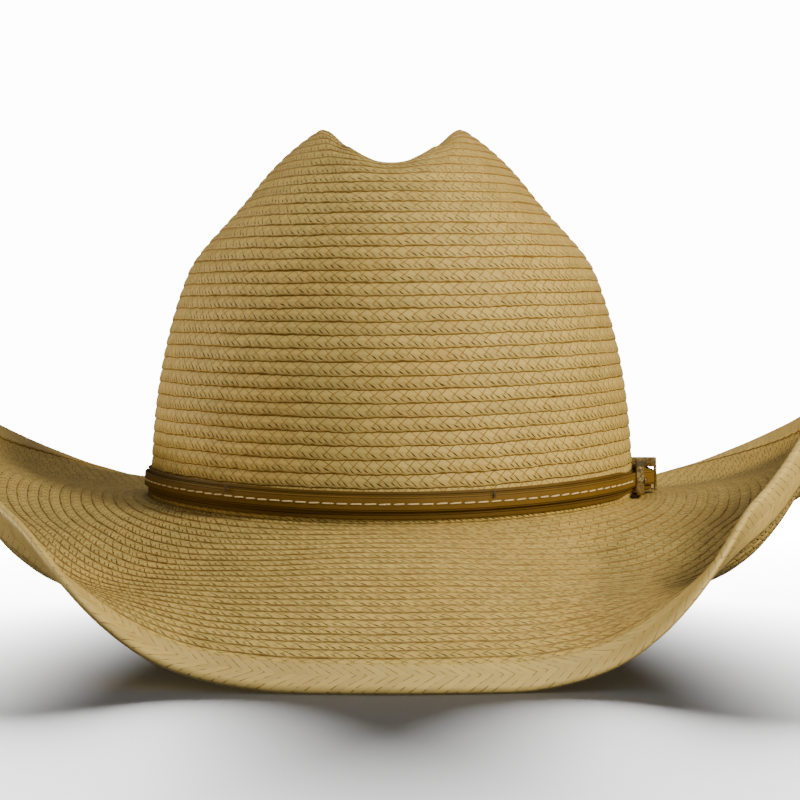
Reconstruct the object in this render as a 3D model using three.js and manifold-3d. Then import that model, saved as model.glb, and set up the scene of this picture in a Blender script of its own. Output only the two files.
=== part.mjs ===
// A western hat sewn from palm braid: crown, curled brim with a wired edge, sweatband, and a
// leather hatband with a three-piece buckle set. Millimetres, +Z up, the front of the hat is -Y
// and the wearer's left is +X. The hat stands on the front and the back of its brim at Z = 0.
import * as THREE from "three";
import { mergeVertices } from "three/addons/utils/BufferGeometryUtils.js";
import Module from "manifold-3d";

const wasm = await Module();
wasm.setup();

// ---------- driving dimensions ----------

// Head opening and walls
const HEAD_HALF_WIDTH = 84; // inside of the sweatband, across
const HEAD_HALF_LENGTH = 100.5; // inside of the sweatband, front to back
const GAP = 0.3; // clearance between pieces that touch on the real hat
const CROWN_WALL = 2;
const SWEATBAND_THICKNESS = 1.2;
const SWEATBAND_HEIGHT = 36;
const SWEATBAND_TUCK = 1.9; // how far it reaches below the base line

// Base line, where crown and brim meet, and the open dome of the crown
const BASE_DIP = 4.5; // front and back lie this much below the sides
const CROWN_HEIGHT = 143; // the dome before it is creased, above the base line's sides
const CROWN_SQUARENESS = 2.2;

// Side dents and centre crease
const DENT_DEPTH = 8.6;
const DENT_FORWARD = 18; // the dents' middle, ahead of the crown's middle
const DENT_LENGTH = 42;
const DENT_FROM_HEIGHT = 80;
const DENT_FULL_HEIGHT = 111;
const DENT_INNER = 12; // the crown is left alone closer than this to the middle
const DENT_OUTER = 26;
const CREASE_FLOOR = 113.6;
const CREASE_END_RISE = 5.5;
const CREASE_HALF_LENGTH = 60;
const CREASE_HALF_WIDTH = 21;
const CREASE_WALL_HEIGHT = 22.7;
const CREASE_WALL_POWER = 2.31;
const CREASE_ROUNDING = 12;
const RIDGE_ROUNDING = 17.8; // the two ridges beside the crease are rounder than its ends
const RIDGE_FROM = 8; // from the middle, where the rounding starts to grow
const RIDGE_FULL = 20;

// Brim
const BRIM_WIDTH = 101; // along the surface, from the crown to the outside of the binding
const BRIM_THICKNESS = 2;
const BRIM_EDGE_THICKNESS = 1.2;
const BRIM_EDGE_TAPER = 14; // the stretch over which the brim thins towards its edge
const BRIM_STAND_FLAT = 1.1; // how much the rim flattens where the hat stands on it
// Radial sections of the brim by angle from the front: its slope at the crown, its slope at the
// rim on the wearer's left and right, and how late the curl comes (1 is an even bend).
const BRIM_SECTIONS = [
  { azimuth: 0, start: -14, rimLeft: -37, rimRight: -37, lateness: 0.9 },
  { azimuth: 20, start: -22, rimLeft: -20, rimRight: -20, lateness: 1.9 },
  { azimuth: 40, start: -28, rimLeft: 98, rimRight: 82, lateness: 2.5 },
  { azimuth: 60, start: -20, rimLeft: 98, rimRight: 82, lateness: 1.6 },
  { azimuth: 90, start: 3, rimLeft: 100, rimRight: 104, lateness: 2.8 },
  { azimuth: 120, start: -2, rimLeft: 50, rimRight: 50, lateness: 2.1 },
  { azimuth: 150, start: 2, rimLeft: -14, rimRight: -14, lateness: 1.8 },
  { azimuth: 171, start: -13, rimLeft: -37, rimRight: -37, lateness: 0.95 },
  { azimuth: 180, start: -14, rimLeft: -37, rimRight: -37, lateness: 0.9 },
];

// Edge braid folded over the rim, with the brim wire in its fold
const BINDING_WIDTH = 11.5;
const BINDING_THICKNESS = 0.7;
const BINDING_SKIN_GAP = 0.25;
const WIRE_RADIUS = 0.65;
const WIRE_CLEARANCE = 0.3;

// Reed and piping at the sweatband's lower edge
const REED_DROP = 3.6; // the reed's middle below the base line
const REED_RADIUS = 0.75;
const PIPING_INNER_RADIUS = 1.05;
const PIPING_OUTER_RADIUS = 1.45;
const PIPING_MOUTH = 70; // opening angle towards the sweatband
const SWEATBAND_JOINT = 0.7; // half angle of the open joint at the back

// Leather hatband: a base strap with a narrower strap stitched on it. Heights are above the base
// line, and places along it are measured from the buckle's heel bar, backwards positive.
const HEEL_BAR_ANGLE = -4.4; // from the wearer's left side, forwards negative
const STRAP_BOTTOM = 1.5;
const STRAP_HEIGHT = 9.2;
const STRAP_THICKNESS = 1.2;
const OVERLAY_HEIGHT = 5;
const OVERLAY_RISE = 2.65; // overlay's lower edge above the strap's lower edge
const OVERLAY_THICKNESS = 1;
const OVERLAY_GAP = 0.25;
const STITCH_WIDTH = 0.7;
const STITCH_THICKNESS = 0.35;
const BILLET_HEIGHT = 7.4; // the strap is narrower where it passes the buckle
const BILLET_NARROWING = 14; // the stretch over which it narrows
const TAIL_LENGTH = 9; // of the strap's end that is folded round the heel bar
const BILLET_LENGTH = 26; // past the heel bar

// Buckle set
const FRAME_LENGTH = 19; // heel bar to front bar
const FRAME_BAR = 2.2; // front bar's width
const FRAME_THICKNESS = 2.6;
const FRAME_ARM = 1.2;
const FRAME_FLARE = 1.2; // how much taller it is at the heel bar, on each side
const HEEL_BAR_RADIUS = 0.7;
const PRONG_WIDTH = 1.6;
const PRONG_EYE_RADIUS = 1.7;
const PRONG_THICKNESS = 1;
const SLOT_CLEARANCE = 0.6; // the prong's slot is wider than the prong by this on each side
const KEEPER_START = 3.6;
const KEEPER_LENGTH = 4.4;
const KEEPER_THICKNESS = 0.8;
const KEEPER_TOP = 3.4; // the keeper's upper side is a thick bead
const TIP_LENGTH = 10;
const TIP_WALL = 0.6;

// Small trim
const TACK_ANGLES = [-68, -127.5, 68, 127.5];
const TACK_WIDTH = 0.8;
const TACK_HEIGHT = 2.4;
const TACK_THICKNESS = 0.35;
const PATCH_HALF_WIDTH = 8.5;
const PATCH_HALF_LENGTH = 30;
const PATCH_THICKNESS = 0.5;
const BOW_HALF_WIDTH = 8.5;
const BOW_HALF_HEIGHT = 3.2;
const BOW_THICKNESS = 0.8;
const TAG_WIDTH = 12;
const TAG_HEIGHT = 8;
const TAG_THICKNESS = 0.5;
const TAG_ANGLE = 74;
const TAG_UP = 26;

// Facets
const RING_STEPS = 48;
const DOME_STEPS = 17;

// ---------- sizes that follow ----------

const WALL_STACK = SWEATBAND_THICKNESS + GAP + CROWN_WALL;
const BASE_HALF_WIDTH = HEAD_HALF_WIDTH + WALL_STACK;
const BASE_HALF_LENGTH = HEAD_HALF_LENGTH + WALL_STACK;
const STRAP_INNER = GAP + 0.05; // the strap's inner face, out from the crown
const OVERLAY_STEP = STRAP_THICKNESS + OVERLAY_GAP; // strap's inner face to overlay's inner face
const BILLET_STACK = OVERLAY_STEP + OVERLAY_THICKNESS;
const STRAP_MIDDLE = STRAP_BOTTOM + STRAP_HEIGHT / 2;
const HEEL_LIFT = KEEPER_THICKNESS + 2 * GAP; // strap's inner face where it passes the keeper
const HEEL_OUT = HEEL_LIFT + STRAP_THICKNESS + GAP + HEEL_BAR_RADIUS; // heel bar's middle
const FOLD_RADIUS = HEEL_BAR_RADIUS + GAP;
const TAIL_INNER = HEEL_OUT + FOLD_RADIUS;
const BILLET_HEEL = TAIL_INNER + STRAP_THICKNESS + GAP; // billet's inner face over the heel bar
const BILLET_REST = STRAP_INNER + STRAP_THICKNESS + TIP_WALL + 3 * GAP; // and at its tip
const FRAME_INNER = STRAP_INNER + BILLET_STACK + GAP; // front bar's inner face
const RIM_MIDDLE = -BRIM_EDGE_THICKNESS / 2;
const FOLD_OUTER = WIRE_RADIUS + WIRE_CLEARANCE + BINDING_THICKNESS;
const WIRE_PLACE = BRIM_WIDTH - FOLD_OUTER;
const BRIM_END = WIRE_PLACE - WIRE_RADIUS - GAP - 0.4;

// ---------- small maths ----------

const radians = THREE.MathUtils.degToRad;
const smooth = THREE.MathUtils.smoothstep;
const mix = THREE.MathUtils.lerp;
const range = (n) => Array.from({ length: n }, (_, i) => i);

function smoothMin(a, b, rounding) {
  const near = Math.max(rounding - Math.abs(a - b), 0) / rounding;
  return Math.min(a, b) - (near * near * rounding) / 4;
}

// A smooth curve through values at rising stations, level at both ends.
function throughStations(stations, values, x) {
  let i = 0;
  while (i < stations.length - 2 && x > stations[i + 1]) i++;
  const slope = (k) =>
    k === 0 || k === stations.length - 1
      ? 0
      : (values[k + 1] - values[k - 1]) / (stations[k + 1] - stations[k - 1]);
  const step = stations[i + 1] - stations[i];
  const t = (x - stations[i]) / step;
  return (
    values[i] * (1 + 2 * t) * (1 - t) ** 2 +
    slope(i) * step * t * (1 - t) ** 2 +
    values[i + 1] * t * t * (3 - 2 * t) +
    slope(i + 1) * step * t * t * (t - 1)
  );
}

// ---------- the hat's surfaces ----------

const baseLine = (theta) => -BASE_DIP * Math.sin(theta) ** 2;

function outward(theta) {
  const n = new THREE.Vector2(
    Math.cos(theta) / BASE_HALF_WIDTH,
    Math.sin(theta) / BASE_HALF_LENGTH,
  );
  return n.normalize();
}

// A point beside the crown: out from its outer face, up from the base line.
function besideCrown(theta, out, up) {
  const level = Math.max(up, 0) / CROWN_HEIGHT;
  const taper = Math.sqrt(1 - level ** CROWN_SQUARENESS);
  const n = outward(theta);
  return new THREE.Vector3(
    BASE_HALF_WIDTH * taper * Math.cos(theta) + n.x * out,
    BASE_HALF_LENGTH * taper * Math.sin(theta) + n.y * out,
    baseLine(theta) + up,
  );
}

// The crown's outer face: the dome, pinched by the side dents and pressed in by the crease.
function crownPoint(theta, rise) {
  const level = Math.sin(rise) ** (2 / CROWN_SQUARENESS);
  const point = new THREE.Vector3(
    BASE_HALF_WIDTH * Math.cos(rise) * Math.cos(theta),
    BASE_HALF_LENGTH * Math.cos(rise) * Math.sin(theta),
    CROWN_HEIGHT * level + baseLine(theta) * (1 - level),
  );
  return creased(point);
}

function creased(p) {
  const along = (p.y + DENT_FORWARD) / DENT_LENGTH;
  const dent =
    DENT_DEPTH *
    Math.exp(-along * along) *
    smooth(p.z, DENT_FROM_HEIGHT, DENT_FULL_HEIGHT) *
    smooth(Math.abs(p.x), DENT_INNER, DENT_OUTER);
  p.x -= Math.sign(p.x) * dent;
  const floor = CREASE_FLOOR + CREASE_END_RISE * (p.y / CREASE_HALF_LENGTH) ** 2;
  const wall = CREASE_WALL_HEIGHT * (Math.abs(p.x) / CREASE_HALF_WIDTH) ** CREASE_WALL_POWER;
  const ridge = smooth(Math.abs(p.x), RIDGE_FROM, RIDGE_FULL);
  p.z = smoothMin(p.z, floor + wall, mix(CREASE_ROUNDING, RIDGE_ROUNDING, ridge));
  return p;
}

// One radial section of the brim as a chain of points and slopes, a millimetre apart.
function brimSection(theta) {
  const azimuth = THREE.MathUtils.radToDeg(Math.acos(-Math.sin(theta)));
  const side = Math.cos(theta) > 0 ? "rimLeft" : "rimRight";
  const stations = BRIM_SECTIONS.map((s) => s.azimuth);
  const at = (key) => throughStations(stations, BRIM_SECTIONS.map((s) => s[key]), azimuth);
  const start = radians(at("start"));
  const turn = radians(at(side)) - start;
  const lateness = at("lateness");
  const chain = [{ out: 0, up: 0, slope: start }];
  for (const i of range(Math.ceil(BRIM_WIDTH) + 1)) {
    const slope = start + turn * ((i + 1) / BRIM_WIDTH) ** lateness;
    const last = chain[i];
    const mean = (slope + last.slope) / 2;
    chain.push({ out: last.out + Math.cos(mean), up: last.up + Math.sin(mean), slope });
  }
  return chain;
}

const sections = new Map();
function sectionAt(theta) {
  const key = theta.toFixed(6);
  if (!sections.has(key)) sections.set(key, brimSection(theta));
  return sections.get(key);
}

const rimHeight = (theta) =>
  baseLine(theta) + sectionAt(theta)[Math.round(BRIM_WIDTH)].up;
const STAND_HEIGHT = rimHeight(-Math.PI / 2) + BRIM_STAND_FLAT;

// A point on the brim: across it from the crown, and up from its top face.
function brimPoint(theta, across, up) {
  const chain = sectionAt(theta);
  const i = Math.min(Math.floor(Math.max(across, 0)), chain.length - 2);
  const part = Math.max(across, 0) - i;
  const slope = mix(chain[i].slope, chain[i + 1].slope, part);
  const out = mix(chain[i].out, chain[i + 1].out, part) + Math.min(across, 0);
  const flatten = -smoothMin(rimHeight(theta) - STAND_HEIGHT, 0, BRIM_STAND_FLAT / 2);
  const lift = flatten * (Math.max(across, 0) / BRIM_WIDTH) ** 2;
  const level = across < 0 ? 0 : slope;
  const n = outward(theta);
  const away = out - Math.sin(level) * up;
  return new THREE.Vector3(
    BASE_HALF_WIDTH * Math.cos(theta) + n.x * away,
    BASE_HALF_LENGTH * Math.sin(theta) + n.y * away,
    baseLine(theta) + mix(chain[i].up, chain[i + 1].up, part) + lift + Math.cos(level) * up,
  );
}

const brimThickness = (across) =>
  mix(BRIM_THICKNESS, BRIM_EDGE_THICKNESS, smooth(across, BRIM_END - BRIM_EDGE_TAPER, BRIM_END));

// A point beside the hatband: along it from the heel bar, out from the crown, up from base line.
const angleAt = (along) => radians(HEEL_BAR_ANGLE) + along / BASE_HALF_LENGTH;
const onBand = (along, out, up) => besideCrown(angleAt(along), out, up);

// ---------- solids from rings and outlines ----------

function solidFrom(points, triangles) {
  const geometry = new THREE.BufferGeometry().setFromPoints(points);
  let volume = 0;
  for (const [a, b, c] of triangles)
    volume += points[a].dot(new THREE.Vector3().crossVectors(points[b], points[c]));
  geometry.setIndex(
    triangles.flatMap(([a, b, c]) => (volume > 0 ? [a, b, c] : [a, c, b])),
  );
  return geometry;
}

// A four-cornered face, split along its shorter diagonal so that nested skins fold alike.
function twoTriangles(points, a, b, c, d) {
  const alongAC = points[a].distanceTo(points[c]) < points[b].distanceTo(points[d]);
  if (alongAC)
    return [
      [a, b, c],
      [a, c, d],
    ];
  return [
    [a, b, d],
    [b, c, d],
  ];
}

// Rings of points joined one to the next: closed on itself, or capped by the section's outline.
function joinRings(rings, outline = null) {
  const n = rings[0].length;
  const points = rings.flat();
  const closed = outline === null;
  const triangles = [];
  for (const r of range(closed ? rings.length : rings.length - 1)) {
    const next = (r + 1) % rings.length;
    for (const i of range(n)) {
      const j = (i + 1) % n;
      triangles.push(...twoTriangles(points, r * n + i, next * n + i, next * n + j, r * n + j));
    }
  }
  if (!closed) {
    const turned = THREE.ShapeUtils.isClockWise(outline);
    const last = (rings.length - 1) * n;
    for (const [a, b, c] of THREE.ShapeUtils.triangulateShape(outline, [])) {
      const [p, q] = turned ? [c, b] : [b, c];
      triangles.push([a, p, q], [last + a, last + q, last + p]);
    }
  }
  return solidFrom(points, triangles);
}

function asManifold(geometry) {
  const bare = geometry.clone();
  bare.deleteAttribute("normal");
  bare.deleteAttribute("uv");
  const merged = mergeVertices(bare, 1e-4);
  return new wasm.Manifold(
    new wasm.Mesh({
      numProp: 3,
      vertProperties: new Float32Array(merged.attributes.position.array),
      triVerts: new Uint32Array(merged.index.array),
    }),
  );
}

function asGeometry(manifold) {
  const mesh = manifold.getMesh();
  const geometry = new THREE.BufferGeometry();
  geometry.setAttribute("position", new THREE.BufferAttribute(mesh.vertProperties, 3));
  geometry.setIndex(new THREE.BufferAttribute(mesh.triVerts, 1));
  return geometry;
}

const cut = (body, ...tools) =>
  asGeometry(tools.reduce((left, tool) => left.subtract(asManifold(tool)), asManifold(body)));

const ringAngles = range(RING_STEPS).map((i) => (i / RING_STEPS) * 2 * Math.PI);
const back = Math.PI / 2;
// The same angles, as an open ring that stops short of the joint at the back on both sides.
const jointedAngles = [
  back + radians(SWEATBAND_JOINT),
  ...range(RING_STEPS - 1).map((i) => back + ((i + 1) / RING_STEPS) * 2 * Math.PI),
  back + 2 * Math.PI - radians(SWEATBAND_JOINT),
];

// ---------- materials ----------

const materials = {
  palm: { color: 0xc9a86a, roughness: 0.62, metalness: 0 },
  palmEdge: { color: 0xd0b378, roughness: 0.6, metalness: 0 },
  sweatLeather: { color: 0x6b4a2c, roughness: 0.6, metalness: 0 },
  bandLeather: { color: 0x62430f, roughness: 0.5, metalness: 0 },
  thread: { color: 0xd8c79c, roughness: 0.8, metalness: 0 },
  brass: { color: 0x9a7433, roughness: 0.35, metalness: 1 },
  wire: { color: 0x8f8f8c, roughness: 0.4, metalness: 1 },
  reed: { color: 0xe9e4d2, roughness: 0.45, metalness: 0 },
  ribbon: { color: 0x2b211a, roughness: 0.55, metalness: 0 },
  satin: { color: 0xe7dcc2, roughness: 0.4, metalness: 0 },
};

const hat = new THREE.Group();
function add(name, geometry, material) {
  const mesh = new THREE.Mesh(geometry, new THREE.MeshStandardMaterial(materials[material]));
  mesh.name = name;
  hat.add(mesh);
  return mesh;
}

// ---------- crown and brim ----------

function crownShell() {
  const stand = GAP; // the crown stands this far above the brim's inner margin
  const rises = range(DOME_STEPS).map((i) => (i / DOME_STEPS) ** 1.15 * (Math.PI / 2));
  const skin = rises.flatMap((rise) =>
    ringAngles.map((theta) => crownPoint(theta, rise).add(new THREE.Vector3(0, 0, stand))),
  );
  skin.push(crownPoint(0, Math.PI / 2).add(new THREE.Vector3(0, 0, stand)));
  const n = RING_STEPS;
  const top = skin.length - 1;
  const faces = [];
  for (const r of range(DOME_STEPS))
    for (const i of range(n)) {
      const j = (i + 1) % n;
      const [a, b] = [r * n + i, r * n + j];
      if (r === DOME_STEPS - 1) faces.push([a, b, top]);
      else faces.push([a, b, b + n], [a, b + n, a + n]);
    }
  const shell = new THREE.BufferGeometry().setFromPoints(skin);
  shell.setIndex(faces.flat());
  shell.computeVertexNormals();
  const normals = shell.attributes.normal;
  const lining = skin.map((p, k) => {
    const normal = new THREE.Vector3().fromBufferAttribute(normals, k);
    if (k < n) normal.setZ(0).normalize();
    return p.clone().addScaledVector(normal, -CROWN_WALL);
  });
  const inside = faces.map(([a, b, c]) => [a + top + 1, c + top + 1, b + top + 1]);
  const hem = range(n).flatMap((i) => {
    const j = (i + 1) % n;
    return [
      [i, i + top + 1, j + top + 1],
      [i, j + top + 1, j],
    ];
  });
  return solidFrom([...skin, ...lining], [...faces, ...inside, ...hem]);
}

// Where the binding's legs have their points, which the brim shares so that their facets nest.
const bindingStations = [BRIM_WIDTH - BINDING_WIDTH, BRIM_WIDTH - BINDING_WIDTH / 2, BRIM_END];

function brimShell() {
  const count = 8;
  const reach = range(count).map((i) => (i / count) * bindingStations[0]);
  const stations = [-CROWN_WALL, ...reach, ...bindingStations];
  return joinRings(
    ringAngles.map((theta) => [
      ...stations.map((across) => brimPoint(theta, across, 0)),
      ...[...stations].reverse().map((a) => brimPoint(theta, a, -brimThickness(a))),
    ]),
  );
}

// The edge braid's section: a leg on the brim's top, a fold round the wire, a leg underneath.
function bindingShell() {
  const legs = bindingStations;
  const fold = (theta, radius, degrees) =>
    brimPoint(
      theta,
      WIRE_PLACE + radius * Math.cos(radians(degrees)),
      RIM_MIDDLE + radius * Math.sin(radians(degrees)),
    );
  const near = BINDING_SKIN_GAP;
  const far = BINDING_SKIN_GAP + BINDING_THICKNESS;
  const under = (theta, a, depth) => brimPoint(theta, a, -brimThickness(a) - depth);
  const body = joinRings(
    ringAngles.map((theta) => [
      ...legs.map((a) => brimPoint(theta, a, far)),
      ...[72, 24, -24, -72].map((d) => fold(theta, FOLD_OUTER, d)),
      ...[...legs].reverse().map((a) => under(theta, a, far)),
      ...legs.map((a) => under(theta, a, near)),
      ...[-70, -24, 24, 70].map((d) => fold(theta, FOLD_OUTER - BINDING_THICKNESS, d)),
      ...[...legs].reverse().map((a) => brimPoint(theta, a, near)),
    ]),
  );
  const floor = new THREE.BoxGeometry(4 * BRIM_WIDTH, 8 * BRIM_WIDTH, 2 * FLOOR_DEPTH);
  floor.translate(0, 0, groundLevel(body) - FLOOR_DEPTH);
  return cut(body, floor);
}

const FLOOR_DEPTH = 20;
const STAND_CUT = 0.3; // the flat worn on the fold where the hat stands
function groundLevel(body) {
  body.computeBoundingBox();
  return body.boundingBox.min.z + STAND_CUT;
}

function brimWire() {
  const sides = range(6).map((i) => (i / 6) * 2 * Math.PI);
  return joinRings(
    ringAngles.map((theta) =>
      sides.map((a) =>
        brimPoint(
          theta,
          WIRE_PLACE + WIRE_RADIUS * Math.cos(a),
          RIM_MIDDLE + WIRE_RADIUS * Math.sin(a),
        ),
      ),
    ),
  );
}

add("crown", crownShell(), "palm");
add("brim", brimShell(), "palm");
const binding = add("brim_binding", bindingShell(), "palmEdge");
add("brim_wire", brimWire(), "wire");

// ---------- sweatband, reed and piping ----------

// An open ring whose section is an outline of (out from the crown, up from the base line).
const jointedRing = (outline) =>
  joinRings(
    jointedAngles.map((theta) => outline.map((p) => besideCrown(theta, p.x, p.y))),
    outline,
  );

const SWEAT_OUTER = -CROWN_WALL - GAP;
const SWEAT_INNER = SWEAT_OUTER - SWEATBAND_THICKNESS;
const SWEAT_MIDDLE = (SWEAT_OUTER + SWEAT_INNER) / 2;

function sweatband() {
  const heights = [-SWEATBAND_TUCK, 0, SWEATBAND_HEIGHT / 2, SWEATBAND_HEIGHT];
  return jointedRing([
    ...heights.map((up) => new THREE.Vector2(SWEAT_INNER, up)),
    ...heights.reverse().map((up) => new THREE.Vector2(SWEAT_OUTER, up)),
  ]);
}

const aroundReed = (radius, degrees) =>
  new THREE.Vector2(
    SWEAT_MIDDLE + radius * Math.cos(radians(degrees)),
    -REED_DROP + radius * Math.sin(radians(degrees)),
  );

function piping() {
  const turn = 360 - PIPING_MOUTH;
  const stops = range(6).map((i) => 90 + PIPING_MOUTH / 2 + (i / 5) * turn);
  return jointedRing([
    ...stops.map((d) => aroundReed(PIPING_OUTER_RADIUS, d)),
    ...stops.reverse().map((d) => aroundReed(PIPING_INNER_RADIUS, d)),
  ]);
}

add("sweatband", sweatband(), "sweatLeather");
add("sweatband_piping", piping(), "ribbon");
add("sweatband_reed", jointedRing(range(5).map((i) => aroundReed(REED_RADIUS, i * 72))), "reed");

// The bow lies flat inside the back of the sweatband, over its joint.
function bow() {
  const outline = new THREE.Shape();
  const [w, h] = [BOW_HALF_WIDTH, BOW_HALF_HEIGHT];
  outline.moveTo(0, h / 3);
  outline.lineTo(w, h);
  outline.lineTo(w, -h);
  outline.lineTo(0, -h / 3);
  outline.lineTo(-w, -h);
  outline.lineTo(-w, h);
  const knot = new THREE.ExtrudeGeometry(outline, { depth: BOW_THICKNESS, bevelEnabled: false });
  return knot.translate(0, 0, -BOW_THICKNESS / 2).rotateX(Math.PI / 2);
}

// Places a flat piece inside the sweatband, clear of the band's curve and of its lean.
function layInside(mesh, degrees, up, halfWidth, halfHeight, thickness) {
  const theta = radians(degrees);
  const n = outward(theta);
  const sag = (halfWidth ** 2 / 2) * (HEAD_HALF_LENGTH / HEAD_HALF_WIDTH ** 2);
  const inset = SWEAT_INNER - sag - 2 * GAP - thickness / 2;
  const place = besideCrown(theta, inset, up + halfHeight);
  mesh.position.set(place.x, place.y, place.z - halfHeight);
  mesh.rotation.z = Math.atan2(n.y, n.x) - Math.PI / 2;
}

const ribbonBow = add("sweatband_bow", bow(), "ribbon");
layInside(ribbonBow, 90, BOW_HALF_HEIGHT + 1, BOW_HALF_WIDTH, BOW_HALF_HEIGHT, BOW_THICKNESS);

const tag = add("size_tag", new THREE.BoxGeometry(TAG_WIDTH, TAG_THICKNESS, TAG_HEIGHT), "satin");
layInside(tag, TAG_ANGLE, TAG_UP, TAG_WIDTH / 2, TAG_HEIGHT / 2, TAG_THICKNESS);

// The satin patch hangs under the crease, following its floor.
function crownPatch() {
  const under = CROWN_WALL + 2 * GAP;
  const height = (x, y) => {
    const reach = Math.hypot(x / BASE_HALF_WIDTH, y / BASE_HALF_LENGTH);
    const level = (1 - reach * reach) ** (1 / CROWN_SQUARENESS);
    return creased(new THREE.Vector3(x, y, CROWN_HEIGHT * level)).z - under;
  };
  const section = (t) => {
    const y = -PATCH_HALF_LENGTH * Math.cos(t);
    const half = PATCH_HALF_WIDTH * Math.max(Math.sin(t), 0.12);
    const top = [-half, 0, half].map((x) => new THREE.Vector3(x, y, height(x, y)));
    const down = new THREE.Vector3(0, 0, -PATCH_THICKNESS);
    return [...top, ...top.map((p) => p.clone().add(down)).reverse()];
  };
  const rings = range(13).map((i) => section((i / 12) * Math.PI));
  return joinRings(rings, rings[6].map((p) => new THREE.Vector2(p.x, p.z)));
}
add("crown_patch", crownPatch(), "satin");

// ---------- hatband ----------

// The whole strap, as stations along it: place, inner face, height. It starts with the tail
// folded round the heel bar, goes backwards round the crown and ends as the billet over the fold.
const TURN = 2 * Math.PI * BASE_HALF_LENGTH; // one turn of the along coordinate
const BILLET_START = -FRAME_LENGTH - 2;

const fromHeel = (along) => (along > TURN / 2 ? along - TURN : along);
const narrowing = (along) =>
  smooth(Math.abs(fromHeel(along)), TIP_LENGTH + BILLET_LENGTH - 10, BILLET_LENGTH + BILLET_NARROWING);
const strapHeight = (along) => mix(BILLET_HEIGHT, STRAP_HEIGHT, narrowing(along));

// Inner face of the first layer, which hugs the crown but passes over the keeper's inner side.
const hugging = (along) => mix(HEEL_LIFT, STRAP_INNER, smooth(along, TAIL_LENGTH, TAIL_LENGTH + 6));

// Inner face of the billet, past the front bar and over the fold to its tip.
function billetFace(along) {
  if (along < TAIL_LENGTH)
    return mix(STRAP_INNER, BILLET_HEEL, smooth(along, -FRAME_LENGTH + FRAME_BAR, -1));
  return mix(BILLET_HEEL, BILLET_REST, smooth(along, TAIL_LENGTH, TAIL_LENGTH + 8));
}

// Stations of the long way round, on the crown's own facets, from one place to another.
function crownStations(from, to) {
  const facet = (2 * Math.PI) / RING_STEPS;
  const first = Math.ceil(angleAt(from) / facet + 0.3);
  const last = Math.floor(angleAt(to) / facet - 0.3);
  const place = (k) => (k * facet - radians(HEEL_BAR_ANGLE)) * BASE_HALF_LENGTH;
  return [from, ...range(last - first + 1).map((k) => place(first + k)), to];
}

const band = (along, inner, outer, low, high) => [
  onBand(along, inner, low),
  onBand(along, outer, low),
  onBand(along, outer, high),
  onBand(along, inner, high),
];

function strapRing(along, inner, thickness) {
  const half = strapHeight(along) / 2;
  return band(along, inner, inner + thickness, STRAP_MIDDLE - half, STRAP_MIDDLE + half);
}

// The fold round the heel bar turns in the plane of (along, out).
function foldRing(degrees) {
  const half = BILLET_HEIGHT / 2;
  const at = (radius, up) =>
    onBand(
      -radius * Math.cos(radians(degrees)),
      HEEL_OUT - radius * Math.sin(radians(degrees)),
      STRAP_MIDDLE + up,
    );
  const outer = FOLD_RADIUS + STRAP_THICKNESS;
  return [at(outer, -half), at(FOLD_RADIUS, -half), at(FOLD_RADIUS, half), at(outer, half)];
}

const steps = (from, to, count) => range(count + 1).map((i) => mix(from, to, i / count));
const billetStations = [...steps(BILLET_START, TAIL_LENGTH, 12), ...steps(TAIL_LENGTH + 2, BILLET_LENGTH - 0.2, 6)];

// A block through the band, for cutting slots.
function slotBlock(from, to, inner, outer, half) {
  const rings = steps(from, to, 5).map((a) =>
    band(a, inner, outer, STRAP_MIDDLE - half, STRAP_MIDDLE + half),
  );
  return joinRings(rings, squareOutline);
}
const squareOutline = [
  [0, 0],
  [1, 0],
  [1, 1],
  [0, 1],
].map(([x, y]) => new THREE.Vector2(x, y));

const SLOT_HALF = PRONG_WIDTH / 2 + SLOT_CLEARANCE;
const SLOT_FRONT = -FRAME_LENGTH + 6;
const foldSlot = () =>
  slotBlock(SLOT_FRONT, KEEPER_START - 0.9, STRAP_INNER + 0.5, TAIL_INNER + STRAP_THICKNESS + GAP / 2, SLOT_HALF);
const billetSlot = () =>
  slotBlock(SLOT_FRONT, -1.8, STRAP_INNER + 0.5, BILLET_HEEL + BILLET_STACK + 2, SLOT_HALF);

function strap() {
  const rings = [
    ...[TAIL_LENGTH, TAIL_LENGTH / 2, 0].map((a) =>
      strapRing(a, TAIL_INNER, STRAP_THICKNESS).toSpliced(0, 4, ...tailRing(a)),
    ),
    ...[-60, -30, 0, 30, 60].map((d) => foldRing(d)),
    ...[0, TAIL_LENGTH / 2, TAIL_LENGTH, TAIL_LENGTH + 3, TAIL_LENGTH + 6].map((a) =>
      strapRing(a, hugging(a), STRAP_THICKNESS),
    ),
    ...crownStations(TAIL_LENGTH + 9, TURN + BILLET_START - 1).map((a) =>
      strapRing(a, STRAP_INNER, STRAP_THICKNESS),
    ),
    ...billetStations.map((a) => strapRing(a + TURN, billetFace(a), STRAP_THICKNESS)),
  ];
  return cut(joinRings(rings, squareOutline), foldSlot(), billetSlot());
}

// The tail lies outside the bar, so its outer face is the strap's other side.
function tailRing(along) {
  const half = BILLET_HEIGHT / 2;
  return band(
    along,
    TAIL_INNER + STRAP_THICKNESS,
    TAIL_INNER,
    STRAP_MIDDLE - half,
    STRAP_MIDDLE + half,
  );
}

const OVERLAY_START = BILLET_LENGTH + 6;
const OVERLAY_BOTTOM = STRAP_BOTTOM + OVERLAY_RISE;
const overlayRing = (along, face) =>
  band(
    along,
    face + OVERLAY_STEP,
    face + BILLET_STACK,
    OVERLAY_BOTTOM,
    OVERLAY_BOTTOM + OVERLAY_HEIGHT,
  );

function overlay() {
  const rings = [
    ...crownStations(OVERLAY_START, TURN + BILLET_START - 1).map((a) => overlayRing(a, STRAP_INNER)),
    ...billetStations.map((a) => overlayRing(a + TURN, billetFace(a))),
  ];
  return cut(joinRings(rings, squareOutline), billetSlot());
}

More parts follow.
